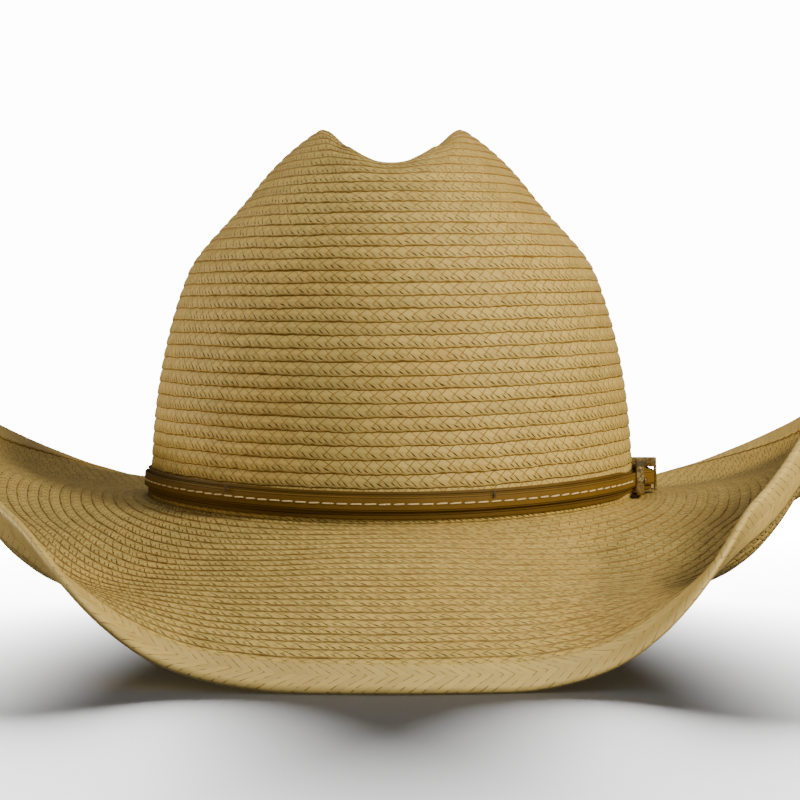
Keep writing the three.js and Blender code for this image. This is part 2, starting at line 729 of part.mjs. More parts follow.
const STITCH_INNER = STRAP_INNER + BILLET_STACK + 0.05;
function stitching() {
  const low = OVERLAY_BOTTOM + OVERLAY_HEIGHT / 2 - STITCH_WIDTH / 2;
  const rings = crownStations(OVERLAY_START + 2, TURN + BILLET_START - 1.5).map((a) =>
    band(a, STITCH_INNER, STITCH_INNER + STITCH_THICKNESS, low, low + STITCH_WIDTH),
  );
  return joinRings(rings, squareOutline);
}

add("hatband_strap", strap(), "bandLeather");
add("hatband_overlay", overlay(), "bandLeather");
add("hatband_stitching", stitching(), "thread");

TACK_ANGLES.forEach((degrees, i) => {
  const theta = radians(degrees);
  const tack = add(
    `band_tack_${i + 1}`,
    new THREE.BoxGeometry(TACK_THICKNESS, TACK_WIDTH, TACK_HEIGHT),
    "thread",
  );
  const out = STITCH_INNER + GAP + TACK_THICKNESS / 2;
  const up = OVERLAY_BOTTOM + OVERLAY_HEIGHT;
  tack.position.copy(besideCrown(theta, out, up));
  tack.rotation.z = Math.atan2(outward(theta).y, outward(theta).x);
});

// ---------- buckle set ----------

// The buckle's own frame: origin on the heel bar's middle, +X towards the front bar, +Y outward.
const heel = onBand(0, HEEL_OUT, STRAP_MIDDLE);
const FRONT_OUT = FRAME_INNER + FRAME_THICKNESS / 2;
const toFront = onBand(-FRAME_LENGTH, FRONT_OUT, STRAP_MIDDLE).sub(heel);
const buckle = new THREE.Group();
buckle.position.copy(heel);
buckle.rotation.z = Math.atan2(toFront.y, toFront.x);
hat.add(buckle);

// Front bar and two arms, flared towards the heel bar, with an eye for the bar in each arm.
const ARM_INNER = BILLET_HEIGHT / 2 + GAP;
function buckleFrame() {
  const outline = new THREE.Shape();
  const heelSide = -2;
  const front = ARM_INNER + FRAME_ARM;
  const wide = front + FRAME_FLARE;
  outline.moveTo(FRAME_LENGTH + FRAME_BAR / 2 - 1, -front);
  outline.quadraticCurveTo(FRAME_LENGTH + FRAME_BAR / 2, -front, FRAME_LENGTH + FRAME_BAR / 2, 1 - front);
  outline.lineTo(FRAME_LENGTH + FRAME_BAR / 2, front - 1);
  outline.quadraticCurveTo(FRAME_LENGTH + FRAME_BAR / 2, front, FRAME_LENGTH + FRAME_BAR / 2 - 1, front);
  outline.lineTo(2, wide);
  outline.lineTo(heelSide, wide);
  outline.lineTo(heelSide, ARM_INNER);
  outline.lineTo(FRAME_LENGTH - FRAME_BAR / 2, ARM_INNER);
  outline.lineTo(FRAME_LENGTH - FRAME_BAR / 2, -ARM_INNER);
  outline.lineTo(heelSide, -ARM_INNER);
  outline.lineTo(heelSide, -front);
  const plate = new THREE.ExtrudeGeometry(outline, {
    depth: FRAME_THICKNESS,
    bevelEnabled: false,
    curveSegments: 3,
  });
  plate.rotateX(Math.PI / 2).translate(0, FRAME_THICKNESS / 2, 0);
  const bore = new THREE.CylinderGeometry(HEEL_BAR_RADIUS + 0.2, HEEL_BAR_RADIUS + 0.2, 30, 16);
  return cut(plate, bore.rotateX(Math.PI / 2));
}

function heelBar() {
  const half = ARM_INNER + FRAME_ARM;
  return new THREE.CylinderGeometry(HEEL_BAR_RADIUS, HEEL_BAR_RADIUS, 2 * half, 16).rotateX(
    Math.PI / 2,
  );
}

// An eye round the heel bar and a tongue that comes to rest over the front bar.
function prong() {
  const tipLow = FRAME_THICKNESS / 2 + GAP;
  const outline = new THREE.Shape();
  const corner = Math.sqrt(PRONG_EYE_RADIUS ** 2 - 0.3 ** 2);
  outline.moveTo(corner, 0.3);
  outline.lineTo(FRAME_LENGTH - 4, tipLow - 0.2);
  outline.lineTo(FRAME_LENGTH + FRAME_BAR / 2 + 0.6, tipLow);
  outline.lineTo(FRAME_LENGTH + FRAME_BAR / 2 + 0.6, tipLow + 0.5);
  outline.lineTo(FRAME_LENGTH, tipLow + PRONG_THICKNESS);
  outline.lineTo(1.2, PRONG_EYE_RADIUS);
  outline.absarc(0, 0, PRONG_EYE_RADIUS, 1.0, 2 * Math.PI + 0.17, false);
  const eye = new THREE.Path();
  eye.absarc(0, 0, HEEL_BAR_RADIUS + 0.25, 0, 2 * Math.PI, false);
  outline.holes.push(eye);
  const body = new THREE.ExtrudeGeometry(outline, {
    depth: PRONG_WIDTH,
    bevelEnabled: false,
    curveSegments: 7,
  });
  return body.translate(0, 0, -PRONG_WIDTH / 2);
}

// The keeper is a rectangular loop round the strap, its tail and the billet.
function keeper() {
  const low = STRAP_MIDDLE - BILLET_HEIGHT / 2 - GAP;
  const high = STRAP_MIDDLE + BILLET_HEIGHT / 2 + GAP;
  const inner = GAP + KEEPER_THICKNESS;
  const outer = BILLET_HEEL + BILLET_STACK + GAP;
  const loop = (wall, topWall, from, to) =>
    steps(from, to, 2).map((a) =>
      band(a, inner - wall, outer + wall, low - wall, high + topWall),
    );
  const body = joinRings(
    loop(KEEPER_THICKNESS, KEEPER_TOP, KEEPER_START, KEEPER_START + KEEPER_LENGTH),
    squareOutline,
  );
  const window = joinRings(
    loop(0, 0, KEEPER_START - 1, KEEPER_START + KEEPER_LENGTH + 1),
    squareOutline,
  );
  return cut(body, window);
}

// The metal tip is a cap over the billet's end.
function strapTip() {
  const half = BILLET_HEIGHT / 2 + GAP;
  const start = BILLET_LENGTH - TIP_LENGTH + TIP_WALL;
  const shape = (wall, from, to) =>
    joinRings(
      steps(from, to, 2).map((a) =>
        band(
          a,
          BILLET_REST - GAP - wall,
          BILLET_REST + BILLET_STACK + GAP + wall,
          STRAP_MIDDLE - half - wall,
          STRAP_MIDDLE + half + wall,
        ),
      ),
      squareOutline,
    );
  const cavity = shape(0, start - 2, BILLET_LENGTH + GAP / 2);
  return cut(shape(TIP_WALL, start, BILLET_LENGTH + GAP / 2 + TIP_WALL), cavity);
}

const inBuckle = (mesh) => buckle.add(mesh);
inBuckle(add("buckle_frame", buckleFrame(), "brass"));
inBuckle(add("buckle_bar", heelBar(), "brass"));
inBuckle(add("buckle_prong", prong(), "brass"));
add("strap_keeper", keeper(), "brass");
add("strap_tip", strapTip(), "brass");

// ---------- the hat on its ground plane ----------

binding.geometry.computeBoundingBox();
const outside = binding.geometry.boundingBox;
const middle = outside.getCenter(new THREE.Vector3());
hat.position.set(-middle.x, -middle.y, -outside.min.z);

export default hat;
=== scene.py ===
"""The looks of a western hat sewn from palm braid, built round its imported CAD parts."""

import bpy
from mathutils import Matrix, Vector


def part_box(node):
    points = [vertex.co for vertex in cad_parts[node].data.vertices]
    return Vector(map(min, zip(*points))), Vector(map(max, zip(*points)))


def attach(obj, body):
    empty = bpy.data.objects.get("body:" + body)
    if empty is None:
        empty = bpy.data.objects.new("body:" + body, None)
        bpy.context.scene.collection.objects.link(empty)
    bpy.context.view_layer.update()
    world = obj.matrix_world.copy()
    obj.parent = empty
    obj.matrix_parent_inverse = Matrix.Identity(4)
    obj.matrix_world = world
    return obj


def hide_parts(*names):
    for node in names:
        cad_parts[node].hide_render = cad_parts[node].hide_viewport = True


bl_info = {
    "name": "Palm Braid Western Hat",
    "version": (1, 0, 0),
    "blender": (4, 5, 0),
    "location": "View3D > Sidebar > Hat",
    "description": "Builds the braid, trim, hatband and buckle set of a western hat, and its studio",
    "category": "Object",
}

import math

import bpy
import numpy as np
from mathutils import Vector

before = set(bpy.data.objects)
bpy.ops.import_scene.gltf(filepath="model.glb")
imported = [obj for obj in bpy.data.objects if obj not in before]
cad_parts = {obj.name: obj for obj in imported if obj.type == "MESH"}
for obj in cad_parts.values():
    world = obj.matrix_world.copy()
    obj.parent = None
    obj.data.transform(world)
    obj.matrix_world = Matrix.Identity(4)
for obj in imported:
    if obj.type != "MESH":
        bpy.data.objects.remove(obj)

MM = 0.001
TAU = 2 * math.pi
BACK = math.pi / 2

# Sizes of the hat's surfaces in millimetres, in the hat's own frame: origin on the base line's
# level at the crown's middle, +Z up, the front at -Y and the wearer's left at +X.
GAP = 0.3
CROWN_WALL = 2.0
BASE_DIP = 4.5
CROWN_HEIGHT = 143.0
SQUARENESS = 2.2
DENT_DEPTH = 8.6
DENT_FORWARD = 18.0
DENT_LENGTH = 42.0
DENT_HEIGHTS = (80.0, 111.0)
DENT_SIDES = (12.0, 26.0)
CREASE_FLOOR = 113.6
CREASE_END_RISE = 5.5
CREASE_HALF_LENGTH = 60.0
CREASE_HALF_WIDTH = 21.0
CREASE_WALL_HEIGHT = 22.7
CREASE_WALL_POWER = 2.31
CREASE_ROUNDING = 12.0
RIDGE_ROUNDING = 21.5
RIDGE_SIDES = (8.0, 20.0)
BRIM_WIDTH = 101.0
BRIM_STAND_FLAT = 1.1
# Azimuth from the front, slope at the crown, slope at the rim on the wearer's left and right,
# and how late the curl comes.
BRIM_SECTIONS = np.array([
    (0, -14, -37, -37, 0.9),
    (20, -22, -20, -20, 1.9),
    (40, -28, 98, 82, 2.5),
    (60, -20, 98, 82, 1.6),
    (90, 3, 100, 104, 2.8),
    (120, -2, 50, 50, 2.1),
    (150, 2, -14, -14, 1.8),
    (171, -13, -37, -37, 0.95),
    (180, -14, -37, -37, 0.9),
])


# ---------- the hat's surfaces ----------


def placed_hat():
    """The base's half sizes and the hat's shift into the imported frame, read from the CAD crown."""
    low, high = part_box("crown")
    low, high = np.array(low) / MM, np.array(high) / MM
    half_length = (high[1] - low[1]) / 2
    # The crown's own half width is the base's where no dent reaches, at its foot.
    half_width = (high[0] - low[0]) / 2
    shift = np.array([(low[0] + high[0]) / 2, (low[1] + high[1]) / 2, low[2] + BASE_DIP - GAP])
    return half_width, half_length, shift


HALF_WIDTH, HALF_LENGTH, SHIFT = placed_hat()


def smooth(x, low, high):
    t = np.clip((x - low) / (high - low), 0, 1)
    return t * t * (3 - 2 * t)


def mix(a, b, t):
    return a + (b - a) * t


def smooth_min(a, b, rounding):
    near = np.maximum(rounding - np.abs(a - b), 0) / rounding
    return np.minimum(a, b) - near * near * rounding / 4


def full_turn(count):
    """Angles once round the hat from its back, the first and last alike."""
    return np.linspace(BACK, BACK + TAU, count)


def ring(count):
    """Evenly spaced angles once round, without repeating the first."""
    return np.linspace(0, TAU, count + 1)[:-1]


def base_line(theta):
    return -BASE_DIP * np.sin(theta) ** 2


def outward(theta):
    x, y = np.cos(theta) / HALF_WIDTH, np.sin(theta) / HALF_LENGTH
    length = np.hypot(x, y)
    return x / length, y / length


def beside_crown(theta, out, up):
    """A point beside the crown: out from its outer face, up from the base line."""
    level = np.maximum(up, 0) / CROWN_HEIGHT
    taper = np.sqrt(1 - level**SQUARENESS)
    nx, ny = outward(theta)
    x = HALF_WIDTH * taper * np.cos(theta) + nx * out
    y = HALF_LENGTH * taper * np.sin(theta) + ny * out
    return np.stack(np.broadcast_arrays(x, y, base_line(theta) + up), -1)


def creased(x, y, z):
    along = (y + DENT_FORWARD) / DENT_LENGTH
    dent = DENT_DEPTH * np.exp(-along * along) * smooth(z, *DENT_HEIGHTS)
    x = x - np.sign(x) * dent * smooth(np.abs(x), *DENT_SIDES)
    floor = CREASE_FLOOR + CREASE_END_RISE * (y / CREASE_HALF_LENGTH) ** 2
    wall = CREASE_WALL_HEIGHT * (np.abs(x) / CREASE_HALF_WIDTH) ** CREASE_WALL_POWER
    rounding = mix(CREASE_ROUNDING, RIDGE_ROUNDING, smooth(np.abs(x), *RIDGE_SIDES))
    return np.stack([x, y, smooth_min(z, floor + wall, rounding)], -1)


def dome(theta, rise):
    level = np.sin(rise) ** (2 / SQUARENESS)
    x = HALF_WIDTH * np.cos(rise) * np.cos(theta)
    y = HALF_LENGTH * np.cos(rise) * np.sin(theta)
    return creased(x, y, CROWN_HEIGHT * level + base_line(theta) * (1 - level))


def meridian():
    """Rises and the length up the front of the open dome to each, for spacing rows evenly."""
    rise = (np.linspace(0, 1, 4000) ** 2) * math.pi / 2
    y = HALF_LENGTH * np.cos(rise)
    z = CROWN_HEIGHT * np.sin(rise) ** (2 / SQUARENESS)
    steps = np.hypot(np.diff(y), np.diff(z))
    return rise, np.concatenate([[0], np.cumsum(steps)])


MERIDIAN_RISE, MERIDIAN_LENGTH = meridian()
CROWN_LENGTH = MERIDIAN_LENGTH[-1]


def on_crown(theta, length, out):
    """A point on the crown's outer face: length up its front meridian, out from the face."""
    def at(angle, reach):
        return dome(angle, np.interp(reach, MERIDIAN_LENGTH, MERIDIAN_RISE))

    step, turn_step, pole_margin = 0.4, 0.004, 3
    point = at(theta, length)
    reach = np.clip(length, step, CROWN_LENGTH - pole_margin)
    turn = at(theta + turn_step, reach) - at(theta - turn_step, reach)
    climb = at(theta, reach + step) - at(theta, reach - step)
    normal = np.cross(turn, climb)
    normal /= np.linalg.norm(normal, axis=-1, keepdims=True)
    return point + normal * np.asarray(out)[..., None]


def through_stations(stations, values, x):
    """A smooth curve through values at rising stations, level at both ends."""
    slopes = np.zeros(len(values))
    slopes[1:-1] = (values[2:] - values[:-2]) / (stations[2:] - stations[:-2])
    i = np.clip(np.searchsorted(stations, x, side="left") - 1, 0, len(stations) - 2)
    step = stations[i + 1] - stations[i]
    t = (x - stations[i]) / step
    return (
        values[i] * (1 + 2 * t) * (1 - t) ** 2
        + slopes[i] * step * t * (1 - t) ** 2
        + values[i + 1] * t * t * (3 - 2 * t)
        + slopes[i + 1] * step * t * t * (t - 1)
    )


RIM = int(BRIM_WIDTH)
CHAIN = RIM + 2


def brim_chains(theta):
    """For each angle, the brim section as out, up and slope at every millimetre along it."""
    azimuth = np.degrees(np.arccos(np.clip(-np.sin(theta), -1, 1)))
    stations, *columns = BRIM_SECTIONS.T
    start, left, right, lateness = (through_stations(stations, c, azimuth) for c in columns)
    start = np.radians(start)
    rim = np.radians(np.where(np.cos(theta) > 0, left, right))
    place = np.arange(CHAIN) / BRIM_WIDTH
    slope = start[:, None] + (rim - start)[:, None] * place[None, :] ** lateness[:, None]
    mean = (slope[:, 1:] + slope[:, :-1]) / 2
    none = np.zeros((len(theta), 1))
    out = np.concatenate([none, np.cumsum(np.cos(mean), 1)], 1)
    up = np.concatenate([none, np.cumsum(np.sin(mean), 1)], 1)
    return out, up, slope


def rim_height(theta, up):
    return base_line(theta) + up[:, RIM]


FRONT = np.array([-math.pi / 2])
STAND_HEIGHT = rim_height(FRONT, brim_chains(FRONT)[1])[0] + BRIM_STAND_FLAT


class Brim:
    """The brim's surface at a row of angles."""

    def __init__(self, theta):
        self.theta = theta
        self.out, self.up, self.slope = brim_chains(theta)
        above = rim_height(theta, self.up) - STAND_HEIGHT
        self.flatten = -smooth_min(above, 0, BRIM_STAND_FLAT / 2)

    def at(self, across, up):
        """Points for each (row of across, angle): across from the crown, up from the top face."""
        i = np.clip(across.astype(int), 0, CHAIN - 2)
        part = np.maximum(across, 0) - i
        j = np.broadcast_to(np.arange(len(self.theta)), across.shape)
        tables = (self.out, self.up, self.slope)
        chain_out, chain_up, slope = (mix(table[j, i], table[j, i + 1], part) for table in tables)
        lift = self.flatten * (np.maximum(across, 0) / BRIM_WIDTH) ** 2
        away = chain_out + np.minimum(across, 0) - np.sin(slope) * up
        nx, ny = outward(self.theta)
        return np.stack([
            HALF_WIDTH * np.cos(self.theta) + nx * away,
            HALF_LENGTH * np.sin(self.theta) + ny * away,
            base_line(self.theta) + chain_up + lift + np.cos(slope) * up,
        ], -1)


# ---------- meshes ----------


def mesh_object(name, points, quads, uv_maps, slot=None):
    """A mesh on the hat body from points in the hat's own frame, with a uv pair for each corner."""
    mesh = bpy.data.meshes.new(name)
    quads = np.asarray(quads, np.int32)
    mesh.vertices.add(len(points))
    mesh.vertices.foreach_set("co", ((points + SHIFT) * MM).astype(np.float32).ravel())
    mesh.loops.add(quads.size)
    mesh.loops.foreach_set("vertex_index", quads.ravel())
    mesh.polygons.add(len(quads))
    mesh.polygons.foreach_set("loop_start", np.arange(len(quads), dtype=np.int32) * 4)
    for key, pairs in uv_maps.items():
        layer = mesh.uv_layers.new(name=key)
        layer.data.foreach_set("uv", pairs.astype(np.float32).ravel())
    mesh.update(calc_edges=True)
    mesh.polygons.foreach_set("use_smooth", np.full(len(quads), True))
    mesh.update()
    piece = bpy.data.objects.new(name, mesh)
    bpy.context.scene.collection.objects.link(piece)
    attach(piece, "hat")
    return piece


def grid_quads(across, along):
    """Corner numbers of the quads in a grid of points."""
    i, j = np.meshgrid(np.arange(across - 1), np.arange(along - 1), indexing="ij")
    corners = ((i, j), (i, j + 1), (i + 1, j + 1), (i + 1, j))
    return np.stack([(a * along + b).ravel() for a, b in corners], -1)


def corner_pairs(quads, u, v):
    """The pair (u, v) at each corner of a grid's quads; u and v broadcast to the grid."""
    return np.stack(np.broadcast_arrays(u, v), -1).reshape(-1, 2)[quads.ravel()]


def merge(parts):
    """Joins (points, quads, {uv name: corner pairs}) parts into one."""
    points, quads, uvs, start = [], [], {}, 0
    for p, q, maps in parts:
        points.append(p)
        quads.append(q + start)
        start += len(p)
        for key, pairs in maps.items():
            uvs.setdefault(key, []).append(pairs)
    uvs = {key: np.concatenate(pairs) for key, pairs in uvs.items()}
    return np.concatenate(points), np.concatenate(quads), uvs


# Across one row of braid: place from its outer edge (0) to where the next row hides it (1), and
# how far it stands out there, in shares of the braid's thickness.
ROW_PROFILE = np.array([
    (-0.03, -0.15), (0.0, 0.62), (0.10, 0.95), (0.30, 1.0), (0.55, 0.85), (0.80, 0.5), (1.0, 0.05),
])
# The share of a whole number that a row's pattern coordinate runs over, so that rows never meet.
SPLICE = 0.9
# How a row's place fits between its neighbours in the bake map: room before it, and its width.
BAKE_LEAD, BAKE_SPAN = 0.1, 1.15
REPEAT = 4.9  # millimetres of the plait, along a row
PLAITS_ROUND = 122
STRAY = 0.09


def wander(theta, row, seed):
    """How far a row's edge strays, in millimetres: a slow drift and a step at each strip."""
    rng = np.random.RandomState(seed + int(row) * 13)
    phase = rng.uniform(0, TAU, 6)
    drift = sum(np.sin(theta * f + p) for f, p in zip((3, 7, 13, 29), phase)) * STRAY
    steps = np.sin(theta * PLAITS_ROUND + phase[4]) * STRAY
    pairs = np.sin(theta * (PLAITS_ROUND // 2) + phase[5]) * 0.07
    return drift + steps + pairs


def row_ribbon(surface, theta, low, high, thickness, row, count, repeats, edge, flip, seed):
    """One turn of braid between two edges, each an array over theta."""
    t = ROW_PROFILE[:, :1]
    reach = low + (high - low) * t + wander(theta, row, seed) * edge
    out = np.broadcast_to(ROW_PROFILE[:, 1:] * thickness, reach.shape)
    points = surface(np.broadcast_to(theta, reach.shape), reach, out)
    quads = grid_quads(*reach.shape)
    if flip:
        quads = quads[:, ::-1]
    turn = (theta - theta[0]) / TAU
    pattern = corner_pairs(quads, turn * repeats, row + 0.5 + (t - 0.5) * SPLICE)
    bake = corner_pairs(quads, turn, (row + (t + BAKE_LEAD) / BAKE_SPAN) / count)
    return points.reshape(-1, 3), quads, {"OFBake": bake, "Braid": pattern}


def oval_length(half_width, half_length):
    """About the length round an oval that is nearly a circle."""
    return math.pi * (half_width + half_length)


# ---------- materials ----------


class Graph:
    """A material whose nodes are made by short calls; every value is a socket or a number."""

    def __init__(self, name):
        self.material = bpy.data.materials.new(name)
        self.material.use_nodes = True
        self.tree = self.material.node_tree
        self.shader = self.tree.nodes["Principled BSDF"]

    def put(self, socket, value):
        if isinstance(value, bpy.types.NodeSocket):
            self.tree.links.new(value, socket)
        elif isinstance(value, (tuple, list)) and len(value) == 3 and socket.type == "RGBA":
            socket.default_value = (*value, 1)
        else:
            socket.default_value = value

    def math(self, operation, *values):
        node = self.tree.nodes.new("ShaderNodeMath")
        node.operation = operation
        for socket, value in zip(node.inputs, values):
            self.put(socket, value)
        return node.outputs[0]

    def add(self, total, *values):
        for value in values:
            total = self.math("ADD", total, value)
        return total

    def minus(self, a, b):
        return self.math("SUBTRACT", a, b)

    def times(self, a, b):
        return self.math("MULTIPLY", a, b)

    def floor(self, value):
        return self.math("FLOOR", value)

    def fraction(self, value):
        return self.math("FRACT", value)

    def centred(self, value, span):
        """A value of zero to one made to run over span, about zero."""
        return self.times(self.minus(value, 0.5), span)

    def range(self, value, low, high, to_low=0.0, to_high=1.0):
        """Smoothly maps low..high to to_low..to_high."""
        node = self.tree.nodes.new("ShaderNodeMapRange")
        node.interpolation_type = "SMOOTHSTEP"
        keys = ("Value", "From Min", "From Max", "To Min", "To Max")
        for key, v in zip(keys, (value, low, high, to_low, to_high)):
            self.put(node.inputs[key], v)
        return node.outputs[0]

    def window(self, value, low, high, soft):
        """One between low and high, and zero outside them."""
        rise = self.range(value, low - soft, low + soft)
        fall = self.range(value, high - soft, high + soft, 1.0, 0.0)
        return self.times(rise, fall)

    def line(self, value, width):
        """One where value crosses a whole number, fading out over width."""
        part = self.fraction(value)
        near = self.math("MINIMUM", part, self.minus(1.0, part))
        return self.range(near, width * 0.25, width, 1.0, 0.0)

    def uv(self, name):
        node = self.tree.nodes.new("ShaderNodeUVMap")
        node.uv_map = name
        split = self.tree.nodes.new("ShaderNodeSeparateXYZ")
        self.tree.links.new(node.outputs[0], split.inputs[0])
        return split.outputs[0], split.outputs[1]

    def place(self):
        return self.tree.nodes.new("ShaderNodeTexCoord").outputs["Object"]

    def vector(self, x, y, z=0.0):
        node = self.tree.nodes.new("ShaderNodeCombineXYZ")
        for socket, value in zip(node.inputs, (x, y, z)):
            self.put(socket, value)
        return node.outputs[0]

    def noise(self, vector, scale, detail=2.0, roughness=0.5):
        node = self.tree.nodes.new("ShaderNodeTexNoise")
        keys = ("Vector", "Scale", "Detail", "Roughness")
        for key, v in zip(keys, (vector, scale, detail, roughness)):
            self.put(node.inputs[key], v)
        return node.outputs[0]

    def random(self, vector):
        node = self.tree.nodes.new("ShaderNodeTexWhiteNoise")
        self.put(node.inputs["Vector"], vector)
        return node.outputs[0]

    def blend(self, share, a, b, mode="MIX"):
        node = self.tree.nodes.new("ShaderNodeMix")
        node.data_type = "RGBA"
        node.blend_type = mode
        self.put(node.inputs[0], share)
        self.put(node.inputs[6], a)
        self.put(node.inputs[7], b)
        return node.outputs[2]

    def tinted(self, colour, tone):
        """A colour times a tone of about one."""
        return self.blend(1.0, colour, self.vector(tone, tone, tone), "MULTIPLY")

    def bump(self, height, depth):
        """A normal from a height; depth is how many metres a height of one stands for."""
        node = self.tree.nodes.new("ShaderNodeBump")
        self.put(node.inputs["Height"], height)
        self.put(node.inputs["Distance"], depth)
        self.put(node.inputs["Strength"], 1.0)
        return node.outputs[0]

    def finish(self, **values):
        for key, value in values.items():
            self.put(self.shader.inputs[key.replace("_", " ")], value)
        return self.material


def shaded(colour, *shares):
    """A colour times one share, or times a share for each of its channels."""
    if len(shares) == 1:
        shares *= 3
    return tuple(c * k for c, k in zip(colour, shares))


# Shares of the straw's or the seam and shade colour, for each channel; the last gives the painted shade
# in the slits.
WARM_STRAW = (0.86, 0.66, 0.38)
STRIP_EDGE = (1.55, 1.7, 1.8)
SLIT_SHADE = (0.2, 0.22, 0.4)


def palm_material(
    name, straw, seam, seam_shade_share=1.0, slit_share=1.0, slit_width=0.19, seam_shade_floor=0.75, seam_shade_width=1.0
):
    """Plaited palm: a row of flat slanting strips with slits near its outer edge, painted dark as shade,
    and painted shade where one row overlaps the next.
    """
    g = Graph(name)
    u, v = g.uv("Braid")
    row = g.floor(v)
    t = g.add(g.centred(g.fraction(v), 1 / SPLICE), 0.5)
    drift = g.vector(g.times(u, 0.45), g.times(row, 3.7))
    along = g.add(u, g.centred(g.noise(drift, 1.0, 1.0), 0.7))
    ripple = g.vector(g.times(u, 2.1), g.times(row, 5.1))
    t = g.add(t, g.centred(g.noise(ripple, 1.0, 1.0), 0.16))
    falling = g.add(along, g.times(t, 1.2))
    rising = g.add(g.minus(along, g.times(t, 1.15)), 0.33)
    slits = g.times(falling, 2.0)
    strip = g.random(g.vector(g.floor(rising), row, 1.0))
    under = g.random(g.vector(g.floor(slits), row, 2.0))
    slit_chance = g.random(g.vector(g.floor(g.add(slits, 0.5)), row, 5.0))
    upper = g.window(t, 0.42, 1.2, 0.05)
    rising_line = g.times(g.line(rising, 0.06), upper)
    falling_line = g.times(g.line(falling, 0.06), g.window(t, 0.12, 0.93, 0.06))
    slit = g.times(g.line(slits, slit_width), g.window(t, 0.13, 0.36, 0.08))
    slit = g.times(slit, g.range(slit_chance, 0.1, 0.7, 0.4, 1.0))
    lip = g.window(t, -0.5, 0.12, 0.05)
    # Painted shade where one row overlaps the next: on the lip at the row's outer edge and where the row
    # tucks under the next one, broken up along the row by noise.
    lip_seam_shade = g.range(t, 0.09 * seam_shade_width, 0.04 * seam_shade_width)
    edge = g.math("MAXIMUM", lip_seam_shade, g.range(t, 0.90, 0.98))
    seam_shade_break = g.noise(g.vector(g.times(u, 1.3), g.times(row, 2.3), 4.0), 1.0)
    edge = g.times(edge, g.range(seam_shade_break, 0.3, 0.6, seam_shade_floor, 1.0))

    patch = g.noise(g.place(), 16.0, 3.0, 0.6)
    grain = g.vector(g.times(g.add(u, t), 26.0), g.times(g.minus(u, t), 2.0), row)
    fibre = g.noise(grain, 1.0, 2.0)
    tone = g.add(
        g.centred(strip, 0.16),
        g.centred(under, 0.10),
        g.centred(patch, 0.30),
        g.centred(fibre, 0.10),
        1.0,
        g.times(lip, 0.06),
        g.range(g.random(g.vector(row, 0.0, 9.0)), 0.0, 1.0, -0.05, 0.05),
    )
    base = g.tinted(straw, tone)
    base = g.blend(g.range(patch, 0.45, 0.8, 0.0, 0.35), base, shaded(straw, *WARM_STRAW))
    base = g.blend(g.times(rising_line, 0.95), base, shaded(seam, *STRIP_EDGE))
    base = g.blend(g.times(falling_line, 0.85), base, shaded(seam, *STRIP_EDGE))
    # The slits' openings are painted dark as shade.
    base = g.blend(g.times(slit, 0.95 * slit_share), base, shaded(seam, *SLIT_SHADE))
    # Lays the painted shade of the overlapping rows over the straw.
    base = g.blend(g.times(edge, 0.8 * seam_shade_share), base, seam)

    pillow = g.times(g.times(g.fraction(falling), 0.22), g.window(t, 0.1, 0.6, 0.1))
    raised = g.times(g.minus(1.0, g.fraction(rising)), g.times(upper, 0.12))
    height = g.add(pillow, raised, g.times(fibre, 0.05))
    height = g.minus(height, g.times(slit, 0.45 * slit_share))
    height = g.minus(height, g.times(g.add(rising_line, falling_line), 0.14))
    return g.finish(
        Base_Color=base,
        Roughness=g.range(fibre, 0.0, 1.0, 0.52, 0.70),
        Specular_IOR_Level=0.25,
        Normal=g.bump(height, MM),
    )


# ---------- properties ----------


def length_property(name, description, default):
    return bpy.props.FloatProperty(
        name=name, description=description, default=default, unit="LENGTH"
    )


def colour_property(name, description, default):
    return bpy.props.FloatVectorProperty(
        name=name, description=description, default=default, subtype="COLOR", size=3
    )


class HatBraidSettings(bpy.types.PropertyGroup):
    """How the palm braid is laid and coloured."""

    row_pitch: length_property("Row pitch", "Width of braid seen in each row", 0.0045)
    thickness: length_property("Braid relief", "How far a row stands over the next", 0.00062)
    straw: colour_property("Straw", "Colour of the palm strips", (0.48, 0.355, 0.112))
    # This colour also gives the painted shade where rows overlap and in the slits.
    seam: colour_property("Seam", "Colour in the seams", (0.17, 0.085, 0.010))


class HatBandSettings(bpy.types.PropertyGroup):
    """Colours of the hatband and its buckle set."""

    leather: colour_property("Leather", "Colour of the strap", (0.098, 0.054, 0.006))
    thread: colour_property("Thread", "Colour of the stitches", (0.72, 0.57, 0.32))
    brass: colour_property("Brass", "Colour of the bright metal", (0.60, 0.44, 0.18))
    stitch_pitch: length_property("Stitch pitch", "From one stitch to the next", 0.0054)


class HatTrimSettings(bpy.types.PropertyGroup):
    """Colours inside the hat."""

    sweat_leather: colour_property("Sweatband", "Colour of the sweatband", (0.16, 0.075, 0.03))
    satin: colour_property("Satin", "Colour of the patch and tag", (0.80, 0.72, 0.55))


class HatStudioSettings(bpy.types.PropertyGroup):
    """The camera's place and the surrounding light."""

    distance: length_property("Camera distance", "From the hat's middle", 0.941)
    eye_height: length_property("Eye height", "Above the base line", 0.0508)
    fill: bpy.props.FloatProperty(
        name="Fill", description="Strength of the surrounding light", default=0.11
    )


# ---------- operators ----------


